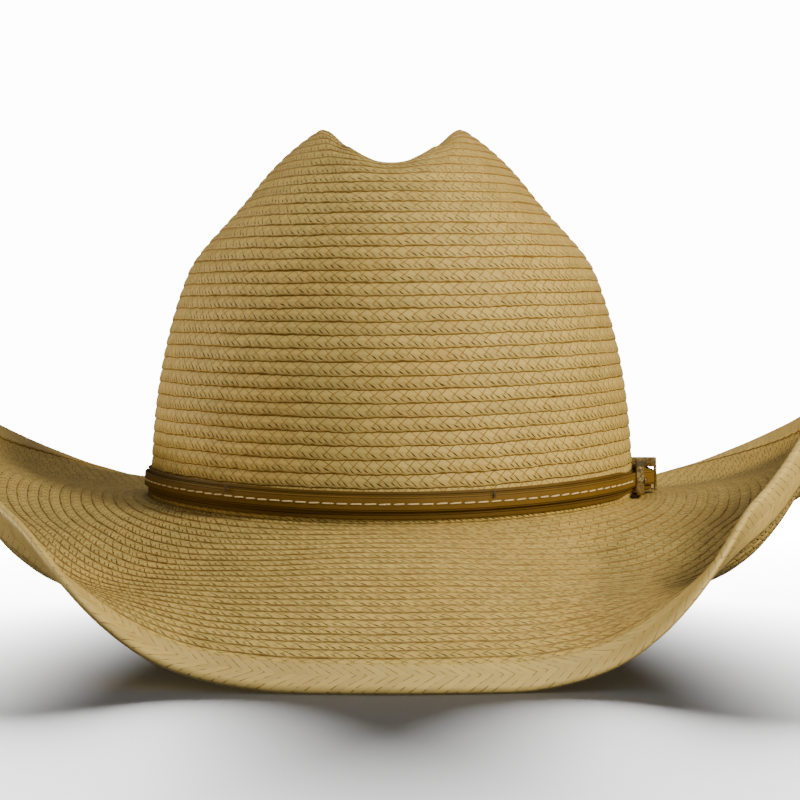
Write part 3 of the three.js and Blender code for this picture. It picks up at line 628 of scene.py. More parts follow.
class HAT_OT_crown(bpy.types.Operator):
    """Sews the crown's rows of braid, and the woven inside behind them"""

    bl_idname = "hat.crown"
    bl_label = "Crown Braid"

    # Millimetres up the crown to where its rows take fewer points, and a row's reach over the next.
    fine_length = 125
    overlap = 0.35
    row_splits = (14, 28)

    def execute(self, context):
        braid = context.scene.hat_braid
        pitch = braid.row_pitch / MM
        thickness = braid.thickness / MM
        material = palm_material("palm braid", tuple(braid.straw), tuple(braid.seam))
        turns = int(CROWN_LENGTH / pitch) + 1
        girth = oval_length(HALF_WIDTH, HALF_LENGTH)
        parts = []
        for row in range(turns + 1):
            theta = full_turn(721 if row * pitch < self.fine_length else 481)
            turn = (theta - theta[0]) / TAU
            low = np.maximum((row - 1 + turn) * pitch, 0.0)
            high = np.maximum((row + turn) * pitch, 0.6) + self.overlap
            if row == turns:
                high = np.full_like(theta, CROWN_LENGTH)
            taper = np.cos(np.interp(row * pitch, MERIDIAN_LENGTH, MERIDIAN_RISE))
            repeats = max(round(girth * taper / REPEAT), 6)
            edge = 0.0 if row < 2 or row > turns - 2 else 1.0
            parts.append(row_ribbon(
                self.surface, theta, low, high, thickness, row, turns + 1, repeats, edge, False, 11
            ))
        ends = (0, *self.row_splits, len(parts))
        for name, first, last in zip(("lower", "middle", "upper"), ends, ends[1:]):
            piece = mesh_object(f"crown_braid_{name}", *merge(parts[first:last]), slot="palm")
            piece.data.materials.append(material)
        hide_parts("crown")
        self.inside(material, pitch)
        return {"FINISHED"}

    def surface(self, theta, reach, out):
        sunk = 0.1
        return on_crown(theta, np.clip(reach, 0.02, CROWN_LENGTH), out - sunk)

    def inside(self, material, pitch):
        theta = full_turn(241)
        length = np.linspace(0.05, CROWN_LENGTH - 1, 120)[:, None]
        grid = np.broadcast_arrays(theta, length)
        points = on_crown(*grid, np.full(grid[0].shape, 0.15 - CROWN_WALL))
        quads = grid_quads(*grid[0].shape)[:, ::-1]
        turn = (theta - theta[0]) / TAU
        maps = {
            "OFBake": corner_pairs(quads, turn, length / CROWN_LENGTH),
            "Braid": corner_pairs(quads, turn * PLAITS_ROUND, length / pitch),
        }
        piece = mesh_object("crown_inside", points.reshape(-1, 3), quads, maps, slot="palm")
        piece.data.materials.append(material)


class HAT_OT_brim(bpy.types.Operator):
    """Sews the brim's rows of braid, seen from above and from below"""

    bl_idname = "hat.brim"
    bl_label = "Brim Braid"

    narrower = 0.85
    # In millimetres: the brim that the edge braid hides, how far the rows start under the crown,
    # how deep they lie in each face, and how much more the underside's rows lap.
    under_edge = 9.0
    tucked = 0.9
    sunk_top, sunk_under = 0.35, 1.45
    overlap, overlap_under = 0.3, 0.4

    def execute(self, context):
        braid = context.scene.hat_braid
        pitch = braid.row_pitch / MM
        thickness = braid.thickness / MM * self.narrower
        material = palm_material(
            "palm brim",
            tuple(braid.straw),
            # A darker seam colour for the brim; it and the seam and slit settings after it also set the
            # brim's painted shade.
            shaded(braid.seam, 0.7),
            seam_shade_share=0.95,
            slit_share=0.75,
            slit_width=0.22,
            seam_shade_floor=0.55,
            seam_shade_width=1.4,
        )
        theta = full_turn(1001)
        brim = Brim(theta)
        turn = (theta - theta[0]) / TAU
        sewn = BRIM_WIDTH - self.under_edge
        turns = round(sewn / (pitch * self.narrower))
        pitch = sewn / turns
        for side, name in ((1, "brim_top"), (-1, "brim_underside")):
            sunk = self.sunk_top if side == 1 else self.sunk_under

            def surface(_, reach, out):
                return brim.at(reach, side * out - sunk)

            parts = []
            for row in range(turns + 1):
                outer = np.minimum((row + 1 - turn) * pitch, sewn)
                inner = np.maximum((row - turn) * pitch, -self.tucked) - self.overlap
                if row == turns:
                    outer = np.maximum(outer, inner + 1.0)
                low, high = (outer, inner) if side == 1 else (inner, outer + self.overlap_under)
                spread = row * pitch
                girth = oval_length(HALF_WIDTH + spread * 0.85, HALF_LENGTH + spread)
                parts.append(row_ribbon(
                    surface, theta, low, high, thickness, row, turns + 1,
                    round(girth / REPEAT), 0.8, side == 1, 31 + side,
                ))
            half = len(parts) // 2
            for part, chosen in (("inner", parts[:half]), ("outer", parts[half:])):
                piece = mesh_object(f"{name}_{part}", *merge(chosen), slot="palm")
                piece.data.materials.append(material)
        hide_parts("brim")
        return {"FINISHED"}


# The round of the folded edge, and how far its middle and the wire lie below the brim's top face.
EDGE_RADIUS = 1.65
WIRE_DEPTH = 0.6
WIRE_RADIUS = 0.6


class HAT_OT_edge(bpy.types.Operator):
    """Folds the wide edge braid over the rim and its wire"""

    bl_idname = "hat.edge"
    bl_label = "Edge Braid"

    plaits = 176
    # In millimetres: how far its edges go in and out at each plait, and the width of it seen.
    tooth = 0.9
    seen_width = 11.5

    def execute(self, context):
        braid = context.scene.hat_braid
        theta = full_turn(1201)
        brim = Brim(theta)
        turn = (theta - theta[0]) / TAU
        across, up = self.section()
        steps = np.hypot(np.diff(across, axis=0), np.diff(up, axis=0))
        reach = np.concatenate([[[0]], np.cumsum(steps, 0)])
        width = reach[-1, 0]
        points_round = turn * self.plaits
        saw = np.abs((points_round % 1) - 0.5) * 2
        near_edge = np.maximum(1 - np.minimum(reach, width - reach) / 2.0, 0)
        waved = across + near_edge * (saw - 0.5)[None, :] * self.tooth
        points = brim.at(waved, np.broadcast_to(up, waved.shape))
        quads = grid_quads(*waved.shape)[:, ::-1]
        maps = {
            "OFBake": corner_pairs(quads, turn, reach / width),
            "Braid": corner_pairs(quads, points_round, reach / width),
        }
        piece = mesh_object("edge_braid", points.reshape(-1, 3), quads, maps, slot="palm_edge")
        piece.data.materials.append(self.material(tuple(braid.straw), tuple(braid.seam)))
        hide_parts("brim_binding")
        return {"FINISHED"}

    def section(self):
        """The folded braid's section as columns of across and up, from its top edge round the rim."""
        radius, middle = EDGE_RADIUS, WIRE_DEPTH
        fold, inner = BRIM_WIDTH - radius, BRIM_WIDTH - self.seen_width
        legs = np.linspace(0, 1, 9)
        bends = np.radians(np.linspace(90, -90, 9))[1:-1]
        under = -2.75
        across = np.concatenate([
            [inner - 0.1, inner],
            mix(inner, fold, legs[1:]),
            fold + radius * np.cos(bends),
            mix(fold, inner, legs[:-1]),
            [inner, inner - 0.1],
        ])
        up = np.concatenate([
            [0.2, 0.85],
            mix(0.95, radius - middle, legs[1:]),
            radius * np.sin(bends) - middle,
            mix(-middle - radius, under, legs[:-1]),
            [under, -2.1],
        ])
        return across[:, None], up[:, None]

    def material(self, straw, seam):
        g = Graph("edge braid")
        u, w = g.uv("Braid")
        side = g.math("ABSOLUTE", g.minus(w, 0.5))
        fold_place = 0.26
        fold = g.math("ABSOLUTE", g.minus(side, fold_place))
        jitter = g.centred(g.noise(g.vector(g.times(u, 0.7), w), 1.0), 0.3)
        chevron = g.add(g.times(u, 2.0), g.times(fold, 9.0), jitter)
        outer = g.math("GREATER_THAN", side, fold_place)
        strip = g.random(g.vector(g.floor(chevron), outer, 3.0))
        broken = g.noise(g.vector(g.times(u, 2.2), g.times(w, 14.0), 6.0), 1.0, 1.0)
        line = g.times(g.line(chevron, 0.10), g.range(broken, 0.40, 0.62))
        patch = g.noise(g.place(), 22.0, 3.0)
        fibre = g.noise(g.vector(g.times(chevron, 2.0), g.times(w, 60.0), 1.0), 1.0, 2.0)
        tone = g.add(g.centred(strip, 0.16), g.centred(patch, 0.3), 1.04, g.centred(fibre, 0.16))
        base = g.blend(g.times(line, 0.6), g.tinted(straw, tone), shaded(seam, 1.5))
        base = g.blend(g.range(side, 0.485, 0.5), base, seam)
        height = g.minus(g.times(g.fraction(chevron), 0.26), g.times(line, 0.2))
        return g.finish(Base_Color=base, Roughness=0.55, Normal=g.bump(height, MM))


# Along the hatband: millimetres from the buckle's heel bar, backwards positive, at the crown's
# half length. Heights are above the base line.
HEEL_BAR_ANGLE = math.radians(-4.4)
STRAP_BOTTOM, STRAP_HEIGHT, STRAP_THICKNESS = 1.5, 9.2, 1.2
STRAP_MIDDLE = STRAP_BOTTOM + STRAP_HEIGHT / 2
STRAP_INNER = 0.35
OVERLAY_BOTTOM, OVERLAY_HEIGHT, OVERLAY_THICKNESS = 4.15, 5.0, 1.0
OVERLAY_STEP = STRAP_THICKNESS + 0.25
BILLET_STACK = OVERLAY_STEP + OVERLAY_THICKNESS
BILLET_HEIGHT, BILLET_LENGTH, TAIL_LENGTH, TIP_LENGTH = 7.4, 26.0, 9.0, 10.0
FRAME_LENGTH = 19.0
BILLET_START = -FRAME_LENGTH - 2
HEEL_LIFT = 1.4
HEEL_OUT = HEEL_LIFT + STRAP_THICKNESS + GAP + 0.7
FOLD_RADIUS = 1.0
TAIL_INNER = HEEL_OUT + FOLD_RADIUS
BILLET_HEEL = TAIL_INNER + STRAP_THICKNESS + GAP
BILLET_REST = STRAP_INNER + STRAP_THICKNESS + 1.5
OVERLAY_START = BILLET_LENGTH + 6
OVERLAY_MIDDLE = OVERLAY_BOTTOM + OVERLAY_HEIGHT / 2
BAND_TURN = TAU * HALF_LENGTH
# Where the slot for the prong starts, how high it is, and the round of its corners.
SLOT_START = -FRAME_LENGTH + 6
SLOT_HEIGHT, SLOT_ROUND = 2.8, 0.3


def on_band(along, out, up):
    return beside_crown(HEEL_BAR_ANGLE + along / HALF_LENGTH, out, up)


def strap_height(along):
    near = np.where(along > BAND_TURN / 2, along - BAND_TURN, along)
    share = smooth(np.abs(near), TIP_LENGTH + BILLET_LENGTH - 10, BILLET_LENGTH + 14)
    return mix(BILLET_HEIGHT, STRAP_HEIGHT, share)


def billet_face(along):
    """Inner face of the strap's last stretch, over the front bar and the fold to its tip."""
    over = mix(STRAP_INNER, BILLET_HEEL, smooth(along, -FRAME_LENGTH + 2.2, -1))
    rest = mix(BILLET_HEEL, BILLET_REST, smooth(along, TAIL_LENGTH, TAIL_LENGTH + 8))
    return np.where(along < TAIL_LENGTH, over, rest)


def strap_face(along):
    """Inner face of the strap wherever it is a single layer or the billet."""
    hugging = mix(HEEL_LIFT, STRAP_INNER, smooth(along, TAIL_LENGTH, TAIL_LENGTH + 6))
    return np.where(along < BAND_TURN + BILLET_START, hugging, billet_face(along - BAND_TURN))


def rounded(half_a, half_b, radius):
    """A rounded rectangle's outline as two arrays, with four points at each corner."""
    turns = np.linspace(0, math.pi / 2, 4)
    a, b = [], []
    for k, (sa, sb) in enumerate(((1, 1), (-1, 1), (-1, -1), (1, -1))):
        turn = turns + k * math.pi / 2
        a.append(sa * (half_a - radius) + radius * np.cos(turn))
        b.append(sb * (half_b - radius) + radius * np.sin(turn))
    return np.concatenate(a), np.concatenate(b)


def tube_part(points, reach, closed=False):
    """Quads round a chain of sections (stations, corners, 3), capped at both ends unless closed."""
    stations, corners = points.shape[:2]
    rows = np.arange(stations if closed else stations - 1)
    i, j = np.meshgrid(rows, np.arange(corners), indexing="ij")
    ahead, beside = (i + 1) % stations, (j + 1) % corners
    walls = ((i, j), (i, beside), (ahead, beside), (ahead, j))
    quads = np.stack([(r * corners + c).ravel() for r, c in walls], -1)
    u = np.append(reach, 2 * reach[-1] - reach[-2])
    v = np.arange(corners + 1) / corners
    laid = ((i, j), (i, j + 1), (i + 1, j + 1), (i + 1, j))
    flat = np.stack([np.stack([u[r], v[c]], -1) for r, c in laid], 2).reshape(-1, 2)
    points = points.reshape(-1, 3)
    if not closed:
        last = (stations - 1) * corners
        caps = []
        for k in range(corners // 2 - 1):
            a, b, c, d = k, k + 1, corners - 2 - k, corners - 1 - k
            caps.append((d, c, b, a))
            caps.append((last + a, last + b, last + c, last + d))
        quads = np.concatenate([quads, np.array(caps)])
        flat = np.concatenate([flat, np.tile([[u[0], 0.0]], (len(caps) * 4, 1))])
    return points, quads, {"Strap": flat}


def band_sweep(along, out, up, half_height, half_thickness, radius):
    """A strap along a path in (along, out), each an array, with a rounded section."""
    turn_a, turn_o = np.gradient(along), np.gradient(out)
    length = np.hypot(turn_a, turn_o)
    turn_a, turn_o = turn_a / length, turn_o / length
    # The corners are rounded on a section of any height, then moved to the strap's own height.
    any_half = 2.0
    thick, tall = rounded(half_thickness, any_half, radius)
    half_height = np.broadcast_to(half_height, along.shape)[:, None]
    high = np.sign(tall) * half_height + np.sign(tall) * (np.abs(tall) - any_half)
    place = along[:, None] - turn_o[:, None] * thick
    away = out[:, None] + turn_a[:, None] * thick
    points = on_band(place, away, up + high)
    return points, np.concatenate([[0], np.cumsum(np.hypot(np.diff(along), np.diff(out)))])


def refined(node, name, body, bevel, segments=3):
    """A finer piece for a small CAD node: the same solid with its edges rounded."""
    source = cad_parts[node]
    mesh = source.data.copy()
    mesh.materials.clear()
    piece = bpy.data.objects.new(name, mesh)
    bpy.context.scene.collection.objects.link(piece)
    weld = piece.modifiers.new("weld", "WELD")
    weld.merge_threshold = MM / 1000
    soft = piece.modifiers.new("bevel", "BEVEL")
    soft.width = bevel * MM
    soft.segments = segments
    soft.limit_method = "ANGLE"
    soft.angle_limit = math.radians(35)
    bake_modifiers(piece)
    for polygon in piece.data.polygons:
        polygon.use_smooth = True
    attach(piece, body)
    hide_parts(node)
    return piece


def bake_modifiers(piece):
    """Makes the piece's modifiers part of its mesh."""
    bpy.context.view_layer.update()
    seen = piece.evaluated_get(bpy.context.evaluated_depsgraph_get())
    mesh = bpy.data.meshes.new_from_object(seen)
    piece.modifiers.clear()
    piece.data = mesh


def leather_material(name, colour, *grooves_and_shade):
    """Oiled leather; each line given is the low and high edge of a dark, sunken line along its face.
    Some are grooves; those on the strap beside the overlay are painted shade.
    """
    g = Graph(name)
    place = g.place()
    grain = g.noise(place, 900.0, 4.0, 0.65)
    cloud = g.noise(place, 60.0, 3.0, 0.6)
    base = g.tinted(colour, g.add(0.75, g.times(cloud, 0.4), g.times(grain, 0.12)))
    rough = g.range(grain, 0.2, 0.8, 0.47, 0.67)
    height = grain
    # The last of the section's sixteen sides is the strap's outer face.
    across = g.add(g.times(g.uv("Strap")[1], 16.0), -15.0)
    for low, high in grooves_and_shade:
        groove_and_shade = g.window(across, low, high, 0.012)
        base = g.blend(g.times(groove_and_shade, 0.8), base, shaded(colour, 0.15))
        height = g.minus(height, g.times(groove_and_shade, 2.0))
    return g.finish(
        Base_Color=base, Roughness=rough, Specular_IOR_Level=0.15, Normal=g.bump(height, 0.00012)
    )


def thread_material(name, colour):
    g = Graph(name)
    u, v = g.uv("Strap")
    twist = g.math("SINE", g.times(g.add(g.times(u, 1.6), v), TAU))
    base = g.tinted(colour, g.range(twist, -1.0, 0.2, 0.72, 1.0))
    return g.finish(Base_Color=base, Roughness=0.6, Normal=g.bump(twist, 0.00008))


def brass_material(colour):
    """Cast brass with dark patina in patches."""
    g = Graph("antique brass")
    place = g.place()
    patina = g.noise(place, 420.0, 4.0, 0.65)
    cast = g.noise(place, 1500.0, 2.0)
    base = g.blend(g.range(patina, 0.40, 0.64), colour, shaded(colour, 0.28))
    rough = g.range(patina, 0.35, 0.7, 0.24, 0.5)
    height = g.add(patina, g.times(cast, 0.4))
    return g.finish(Base_Color=base, Metallic=1.0, Roughness=rough, Normal=g.bump(height, 0.0003))


def plain_material(name, colour, roughness, metallic=0.0):
    g = Graph(name)
    grain = g.noise(g.place(), 700.0, 3.0)
    base = g.tinted(colour, g.add(0.92, g.times(grain, 0.16)))
    bump = g.bump(grain, 0.00006)
    return g.finish(Base_Color=base, Roughness=roughness, Metallic=metallic, Normal=bump)


def ribbon_material(name, colour, pitch):
    """Ribbed cloth; pitch is from rib to rib, in metres."""
    g = Graph(name)
    split = g.tree.nodes.new("ShaderNodeSeparateXYZ")
    g.put(split.inputs[0], g.place())
    across = g.add(split.outputs[0], g.times(split.outputs[1], 0.6))
    rib = g.math("SINE", g.times(across, TAU / pitch))
    base = g.tinted(colour, g.range(rib, -1.0, 1.0, 0.8, 1.0))
    return g.finish(Base_Color=base, Roughness=0.5, Normal=g.bump(rib, 0.00008))


class HAT_OT_hatband(bpy.types.Operator):
    """Lays the leather band round the crown, with its stitches and tacks"""

    bl_idname = "hat.hatband"
    bl_label = "Hatband"

    def execute(self, context):
        colours = context.scene.hat_band
        # On the strap, the dark lines along the overlay's edges are painted shade, also sunk a little;
        # the lines near the strap's own edges are creases.
        overlay_shade_lines = ((0.27, 0.31), (0.80, 0.85))
        edge_creases = ((0.115, 0.135), (0.915, 0.93))
        leather = tuple(colours.leather)
        self.strap().data.materials.append(
            leather_material("band leather", leather, *overlay_shade_lines, *edge_creases)
        )
        self.overlay().data.materials.append(
            leather_material("overlay leather", shaded(leather, 1.35), (-0.05, 0.05), (0.95, 1.05))
        )
        stitches = self.stitches(colours.stitch_pitch / MM)
        stitches.data.materials.append(thread_material("band thread", tuple(colours.thread)))
        tack = plain_material("tack thread", (0.045, 0.024, 0.006), 0.6)
        for number in range(1, 5):
            node = f"band_tack_{number}"
            piece = refined(node, f"tack_{number}", "hat", 0.12)
            piece.data.materials.append(tack)
        return {"FINISHED"}

    def strap(self):
        half = STRAP_THICKNESS / 2
        tail = np.linspace(TAIL_LENGTH, 0, 12)
        turns = np.radians(np.linspace(-90, 90, 18))[1:-1]
        bend = FOLD_RADIUS + half
        main = np.concatenate([np.linspace(0, 18, 30), np.arange(19, BAND_TURN + BILLET_START - 2, 1.0)])
        billet = np.arange(BAND_TURN + BILLET_START - 1.5, BAND_TURN + BILLET_LENGTH - 0.2, 0.6)
        long_way = np.concatenate([main, billet])
        along = np.concatenate([tail, -bend * np.cos(turns), long_way])
        out = np.concatenate([
            np.full(len(tail), TAIL_INNER + half),
            HEEL_OUT - bend * np.sin(turns),
            strap_face(long_way) + half,
        ])
        height = strap_height(np.maximum(along, 0))
        points, reach = band_sweep(along, out, STRAP_MIDDLE, height / 2, half, 0.35)
        piece = mesh_object("strap", *tube_part(points, reach), slot="band_leather")
        self.slot_through(piece, 2.7, BILLET_HEEL - 0.15)
        self.slot_through(piece, -1.8, BILLET_HEEL + 4.5)
        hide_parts("hatband_strap")
        return piece

    def overlay(self):
        along = np.concatenate([
            np.arange(OVERLAY_START, BAND_TURN + BILLET_START - 1, 1.0),
            np.arange(BAND_TURN + BILLET_START - 0.6, BAND_TURN + BILLET_LENGTH - 0.2, 0.6),
        ])
        half = OVERLAY_THICKNESS / 2
        out = strap_face(along) + OVERLAY_STEP + half
        points, reach = band_sweep(along, out, OVERLAY_MIDDLE, OVERLAY_HEIGHT / 2, half, 0.42)
        piece = mesh_object("strap_overlay", *tube_part(points, reach), slot="band_leather")
        self.slot_through(piece, -1.8, BILLET_HEEL + 4.5)
        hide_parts("hatband_overlay")
        return piece

    def slot_through(self, piece, end, outer):
        """Cuts the slot that the prong passes through, as far along as end and as far out as outer."""
        inner = STRAP_INNER + 0.5
        along = np.linspace(SLOT_START, end, 9)
        out = np.full(len(along), (inner + outer) / 2)
        half = (outer - inner) / 2
        points, reach = band_sweep(along, out, STRAP_MIDDLE, SLOT_HEIGHT / 2, half, SLOT_ROUND)
        cutter = mesh_object("slot cutter", *tube_part(points, reach))
        cut = piece.modifiers.new("slot", "BOOLEAN")
        cut.object = cutter
        cut.operation = "DIFFERENCE"
        bake_modifiers(piece)
        bpy.data.objects.remove(cutter)

    def stitches(self, pitch):
        face = STRAP_INNER + BILLET_STACK + 0.02
        rng = np.random.RandomState(5)
        start, end = OVERLAY_START + 2, BAND_TURN + BILLET_START - 1.5
        stand, half_out, half_up = 0.16, 0.22, 0.28
        around = ring(8)
        t = np.linspace(-1, 1, 9)[:, None]
        swell = (1 - np.abs(t) ** 5) ** 0.5
        swell[[0, -1]] = 0.25
        parts = []
        for centre in np.arange(start + pitch / 2, end - pitch / 2, pitch):
            half = pitch * 0.43 * rng.uniform(0.93, 1.04)
            tilt = rng.uniform(0.02, 0.14)
            rise = rng.uniform(-0.06, 0.06)
            along = centre + t * half
            out = face + swell * (stand + half_out * np.cos(around))
            up = OVERLAY_MIDDLE + rise + t * tilt + swell * half_up * np.sin(around)
            parts.append(tube_part(on_band(along, out, up), along[:, 0]))
        piece = mesh_object("stitches", *merge(parts), slot="thread")
        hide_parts("hatband_stitching")
        return piece


class HAT_OT_buckle(bpy.types.Operator):
    """Makes the buckle, its bar and prong, the keeper and the strap's metal tip"""

    bl_idname = "hat.buckle"
    bl_label = "Buckle Set"

    def execute(self, context):
        brass = brass_material(tuple(context.scene.hat_band.brass))
        parts = (
            ("buckle_frame", "buckle", 0.55),
            ("buckle_bar", "buckle", 0.12),
            ("buckle_prong", "prong", 0.22),
            ("strap_keeper", "keeper", 0.32),
            ("strap_tip", "hat", 0.3),
        )
        for node, body, bevel in parts:
            piece = refined(node, f"fine_{node}", body, bevel)
            piece.data.materials.append(brass)
        return {"FINISHED"}


SWEAT_OUTER = -CROWN_WALL - GAP
SWEAT_THICKNESS, SWEAT_HEIGHT, SWEAT_BOTTOM = 1.2, 36.0, -1.9
# The reed and the piping run along the sweatband's lower edge; all three stop short of the back.
REED_OUT, REED_UP = SWEAT_OUTER - SWEAT_THICKNESS / 2, -3.6
REED_RADIUS = 0.75
PIPING_RADII = (1.45, 1.05)
SEAM_ANGLE = math.radians(0.7)


class HAT_OT_inside(bpy.types.Operator):
    """Fits the sweatband with its reed, piping, bow and tag, the patch and the brim wire"""

    bl_idname = "hat.inside"
    bl_label = "Inside Trim"

    def execute(self, context):
        trim = context.scene.hat_trim
        ribbon = ribbon_material("ribbon", (0.02, 0.015, 0.01), 0.0008)
        satin = ribbon_material("satin", tuple(trim.satin), 0.0004)
        self.sweatband(tuple(trim.sweat_leather))
        turns = np.radians(np.linspace(125, 415, 15))
        radii = np.repeat(PIPING_RADII, len(turns))
        self.hoop("piping", "ribbon", radii, np.append(turns, turns[::-1]), ribbon)
        reed = plain_material("reed", (0.8, 0.76, 0.64), 0.4)
        self.hoop("reed", "reed", REED_RADIUS, ring(12), reed)
        for node, slot, material, bevel in (
            ("sweatband_bow", "ribbon", ribbon, 0.2),
            ("size_tag", "satin", satin, 0.1),
            ("crown_patch", "satin", satin, 0.08),
        ):
            piece = refined(node, f"fine_{node}", "hat", bevel, 2)
            piece.data.materials.append(material)
        self.wire()
        return {"FINISHED"}

    def wire(self):
        theta = ring(480)
        around = ring(8)[:, None]
        across = BRIM_WIDTH - EDGE_RADIUS + WIRE_RADIUS * np.cos(around) + 0 * theta
        up = WIRE_RADIUS * np.sin(around) - WIRE_DEPTH + 0 * theta
        points = Brim(theta).at(across, up).transpose(1, 0, 2)
        part = tube_part(points, theta * HALF_LENGTH, closed=True)
        piece = mesh_object("wire", *part, slot="wire")
        piece.data.materials.append(plain_material("wire", (0.3, 0.3, 0.29), 0.35, 1.0))
        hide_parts("brim_wire")

    def hoop(self, name, slot, radii, turns, material):
        """A ring along the sweatband's lower edge, its section given by radii and turns."""
        theta = BACK + np.linspace(SEAM_ANGLE, TAU - SEAM_ANGLE, 361)
        out, up = REED_OUT + radii * np.cos(turns), REED_UP + radii * np.sin(turns)
        points = beside_crown(theta[:, None], out, up)
        piece = mesh_object(name, *tube_part(points, theta * HALF_LENGTH), slot=slot)
        piece.data.materials.append(material)
        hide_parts(f"sweatband_{name}")

    def sweatband(self, colour):
        theta = BACK + np.linspace(SEAM_ANGLE, TAU - SEAM_ANGLE, 481)
        side = 24
        heights = np.linspace(SWEAT_BOTTOM, SWEAT_HEIGHT, side)
        up = np.append(heights, heights[::-1])
        out = np.repeat((SWEAT_OUTER - SWEAT_THICKNESS, SWEAT_OUTER), side)
        rounding = 0.25
        out[[0, side - 1]] += rounding
        out[[side, 2 * side - 1]] -= rounding
        below_top = up < SWEAT_HEIGHT - 0.1
        wave = 0.25 * np.sin(theta * 5 + 1)[:, None] * smooth(up, 12, SWEAT_HEIGHT) * below_top
        points = beside_crown(theta[:, None], out - np.abs(wave), up)
        part = tube_part(points, theta * HALF_LENGTH)
        piece = mesh_object("sweatband_leather", *part, slot="sweat_leather")
        piece.data.materials.append(self.sweat_material(colour))
        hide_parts("sweatband")

    def sweat_material(self, colour):
        g = Graph("sweatband leather")
        u, v = g.uv("Strap")
        place = g.place()
        grain = g.noise(place, 700.0, 4.0, 0.6)
        base = g.tinted(colour, g.add(0.8, g.times(g.noise(place, 45.0, 3.0), 0.4)))
        stitch = g.times(g.line(g.times(u, 0.4), 0.45), g.window(v, 0.035, 0.047, 0.002))
        base = g.blend(stitch, base, (0.5, 0.38, 0.2))
        height = g.add(g.times(grain, 0.35), stitch)
        return g.finish(Base_Color=base, Roughness=0.45, Normal=g.bump(height, 0.0003))


# Each lamp's name, place, target, width and depth in metres, watts, colour, and whether the floor
# is left out of its light or is all that it lights.
LAMPS = (
    ("key", (0.74, -0.88, 0.74), (0.0, 0.0, 0.1), (0.30, 0.30), 17.0, (1.0, 0.92, 0.74), "EXCLUDE"),
    ("side", (1.08, -0.16, 0.60), (0.0, 0.0, 0.1), (0.14, 0.14), 9.5, (1.0, 0.80, 0.44), "EXCLUDE"),
    ("flank", (-1.1, 0.40, 0.36), (0.0, 0.0, 0.1), (0.25, 0.25), 12.0, (1.0, 0.82, 0.46), "EXCLUDE"),
    ("front", (-0.4, -1.5, 0.6), (0.0, 0.0, 0.08), (1.2, 1.2), 3.5, (1.0, 0.98, 0.92), "EXCLUDE"),
    ("sky", (-0.1, 0.1, 1.5), (0.0, 0.0, 0.0), (0.8, 0.8), 4.5, (1.0, 0.97, 0.90), "EXCLUDE"),
    ("floor", (0.0, 1.42, 0.52), (0.0, -0.1, 0.0), (1.25, 0.6), 480.0, (1.0, 1.0, 1.0), "INCLUDE"),
)
# The floor is a square whose back edge lies behind the hat, so that the pale world shows past it.
FLOOR_SIZE = 3.6
FLOOR_PLACE = (0, -0.7, -0.0004)
PALE_WORLD = 14.0


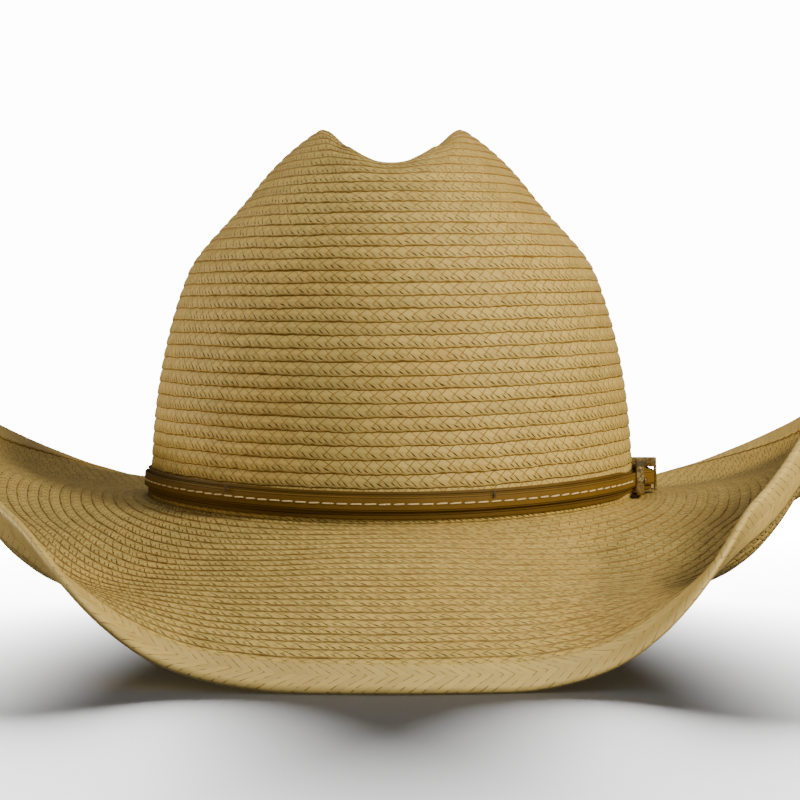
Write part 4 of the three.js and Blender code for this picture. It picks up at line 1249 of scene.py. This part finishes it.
class HAT_OT_studio(bpy.types.Operator):
    """Sets the pale floor, the soft lights and the camera"""

    bl_idname = "hat.studio"
    bl_label = "Studio"

    ground = None

    def execute(self, context):
        studio = context.scene.hat_studio
        self.ground = self.floor()
        for lamp in LAMPS:
            self.light(*lamp)
        world = bpy.data.worlds.new("studio")
        world.use_nodes = True
        nodes, links = world.node_tree.nodes, world.node_tree.links
        path = nodes.new("ShaderNodeLightPath")
        strength = nodes.new("ShaderNodeMapRange")
        strength.inputs["To Min"].default_value = studio.fill
        strength.inputs["To Max"].default_value = PALE_WORLD
        links.new(path.outputs["Is Camera Ray"], strength.inputs["Value"])
        links.new(strength.outputs[0], nodes["Background"].inputs["Strength"])
        nodes["Background"].inputs["Color"].default_value = (1.0, 1.0, 1.0, 1)
        context.scene.world = world
        self.camera(context, studio)
        return {"FINISHED"}

    def floor(self):
        bpy.ops.mesh.primitive_plane_add(size=FLOOR_SIZE, location=FLOOR_PLACE)
        floor = bpy.context.object
        floor.name = "floor"
        floor.visible_diffuse = floor.visible_glossy = False
        g = Graph("pale floor")
        floor.data.materials.append(g.finish(Base_Color=(0.75, 0.75, 0.75), Roughness=0.8))
        return floor

    def light(self, name, place, target, size, power, colour, floor_state):
        """A round lamp that either leaves out the floor or lights it alone."""
        data = bpy.data.lights.new(name, "AREA")
        data.shape = "ELLIPSE"
        data.size, data.size_y = size
        data.energy = power
        data.color = colour
        lamp = bpy.data.objects.new(name, data)
        lamp.location = place
        lamp.visible_camera = False
        lamp.rotation_mode = "QUATERNION"
        lamp.rotation_quaternion = (Vector(target) - Vector(place)).to_track_quat("-Z", "Y")
        bpy.context.scene.collection.objects.link(lamp)
        lit = bpy.data.collections.new(f"{name} receivers")
        lit.objects.link(self.ground)
        lamp.light_linking.receiver_collection = lit
        lit.collection_objects[0].light_linking.link_state = floor_state

    def camera(self, context, studio):
        data = bpy.data.cameras.new("camera")
        data.sensor_width = 36
        data.lens = 115.2
        camera = bpy.data.objects.new("camera", data)
        context.scene.collection.objects.link(camera)
        camera.location = (
            SHIFT[0] * MM + 0.003,
            SHIFT[1] * MM - studio.distance,
            SHIFT[2] * MM + studio.eye_height,
        )
        camera.rotation_euler = (math.radians(89.0), 0, 0)
        context.scene.camera = camera


class HAT_PT_panel(bpy.types.Panel):
    """Lists the hat's pieces and their settings"""

    bl_idname = "HAT_PT_panel"
    bl_label = "Western Hat"
    bl_space_type = "VIEW_3D"
    bl_region_type = "UI"
    bl_category = "Hat"

    def draw(self, context):
        groups = (
            (context.scene.hat_braid, (HAT_OT_crown, HAT_OT_brim, HAT_OT_edge)),
            (context.scene.hat_band, (HAT_OT_hatband, HAT_OT_buckle)),
            (context.scene.hat_trim, (HAT_OT_inside,)),
            (context.scene.hat_studio, (HAT_OT_studio,)),
        )
        for settings, operators in groups:
            box = self.layout.box()
            for key in settings.__annotations__:
                box.prop(settings, key)
            for operator in operators:
                box.operator(operator.bl_idname)


SETTINGS = {
    "hat_braid": HatBraidSettings,
    "hat_band": HatBandSettings,
    "hat_trim": HatTrimSettings,
    "hat_studio": HatStudioSettings,
}
CLASSES = (
    *SETTINGS.values(),
    HAT_OT_crown,
    HAT_OT_brim,
    HAT_OT_edge,
    HAT_OT_inside,
    HAT_OT_hatband,
    HAT_OT_buckle,
    HAT_OT_studio,
    HAT_PT_panel,
)


def register():
    for cls in CLASSES:
        bpy.utils.register_class(cls)
    for name, settings in SETTINGS.items():
        setattr(bpy.types.Scene, name, bpy.props.PointerProperty(type=settings))


def unregister():
    for name in SETTINGS:
        delattr(bpy.types.Scene, name)
    for cls in reversed(CLASSES):
        bpy.utils.unregister_class(cls)


def main():
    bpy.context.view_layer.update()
    register()
    bpy.ops.hat.crown()
    bpy.ops.hat.brim()
    bpy.ops.hat.edge()
    bpy.ops.hat.inside()
    bpy.ops.hat.hatband()
    bpy.ops.hat.buckle()
    bpy.ops.hat.studio()
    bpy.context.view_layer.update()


if __name__ == "__main__":
    main()
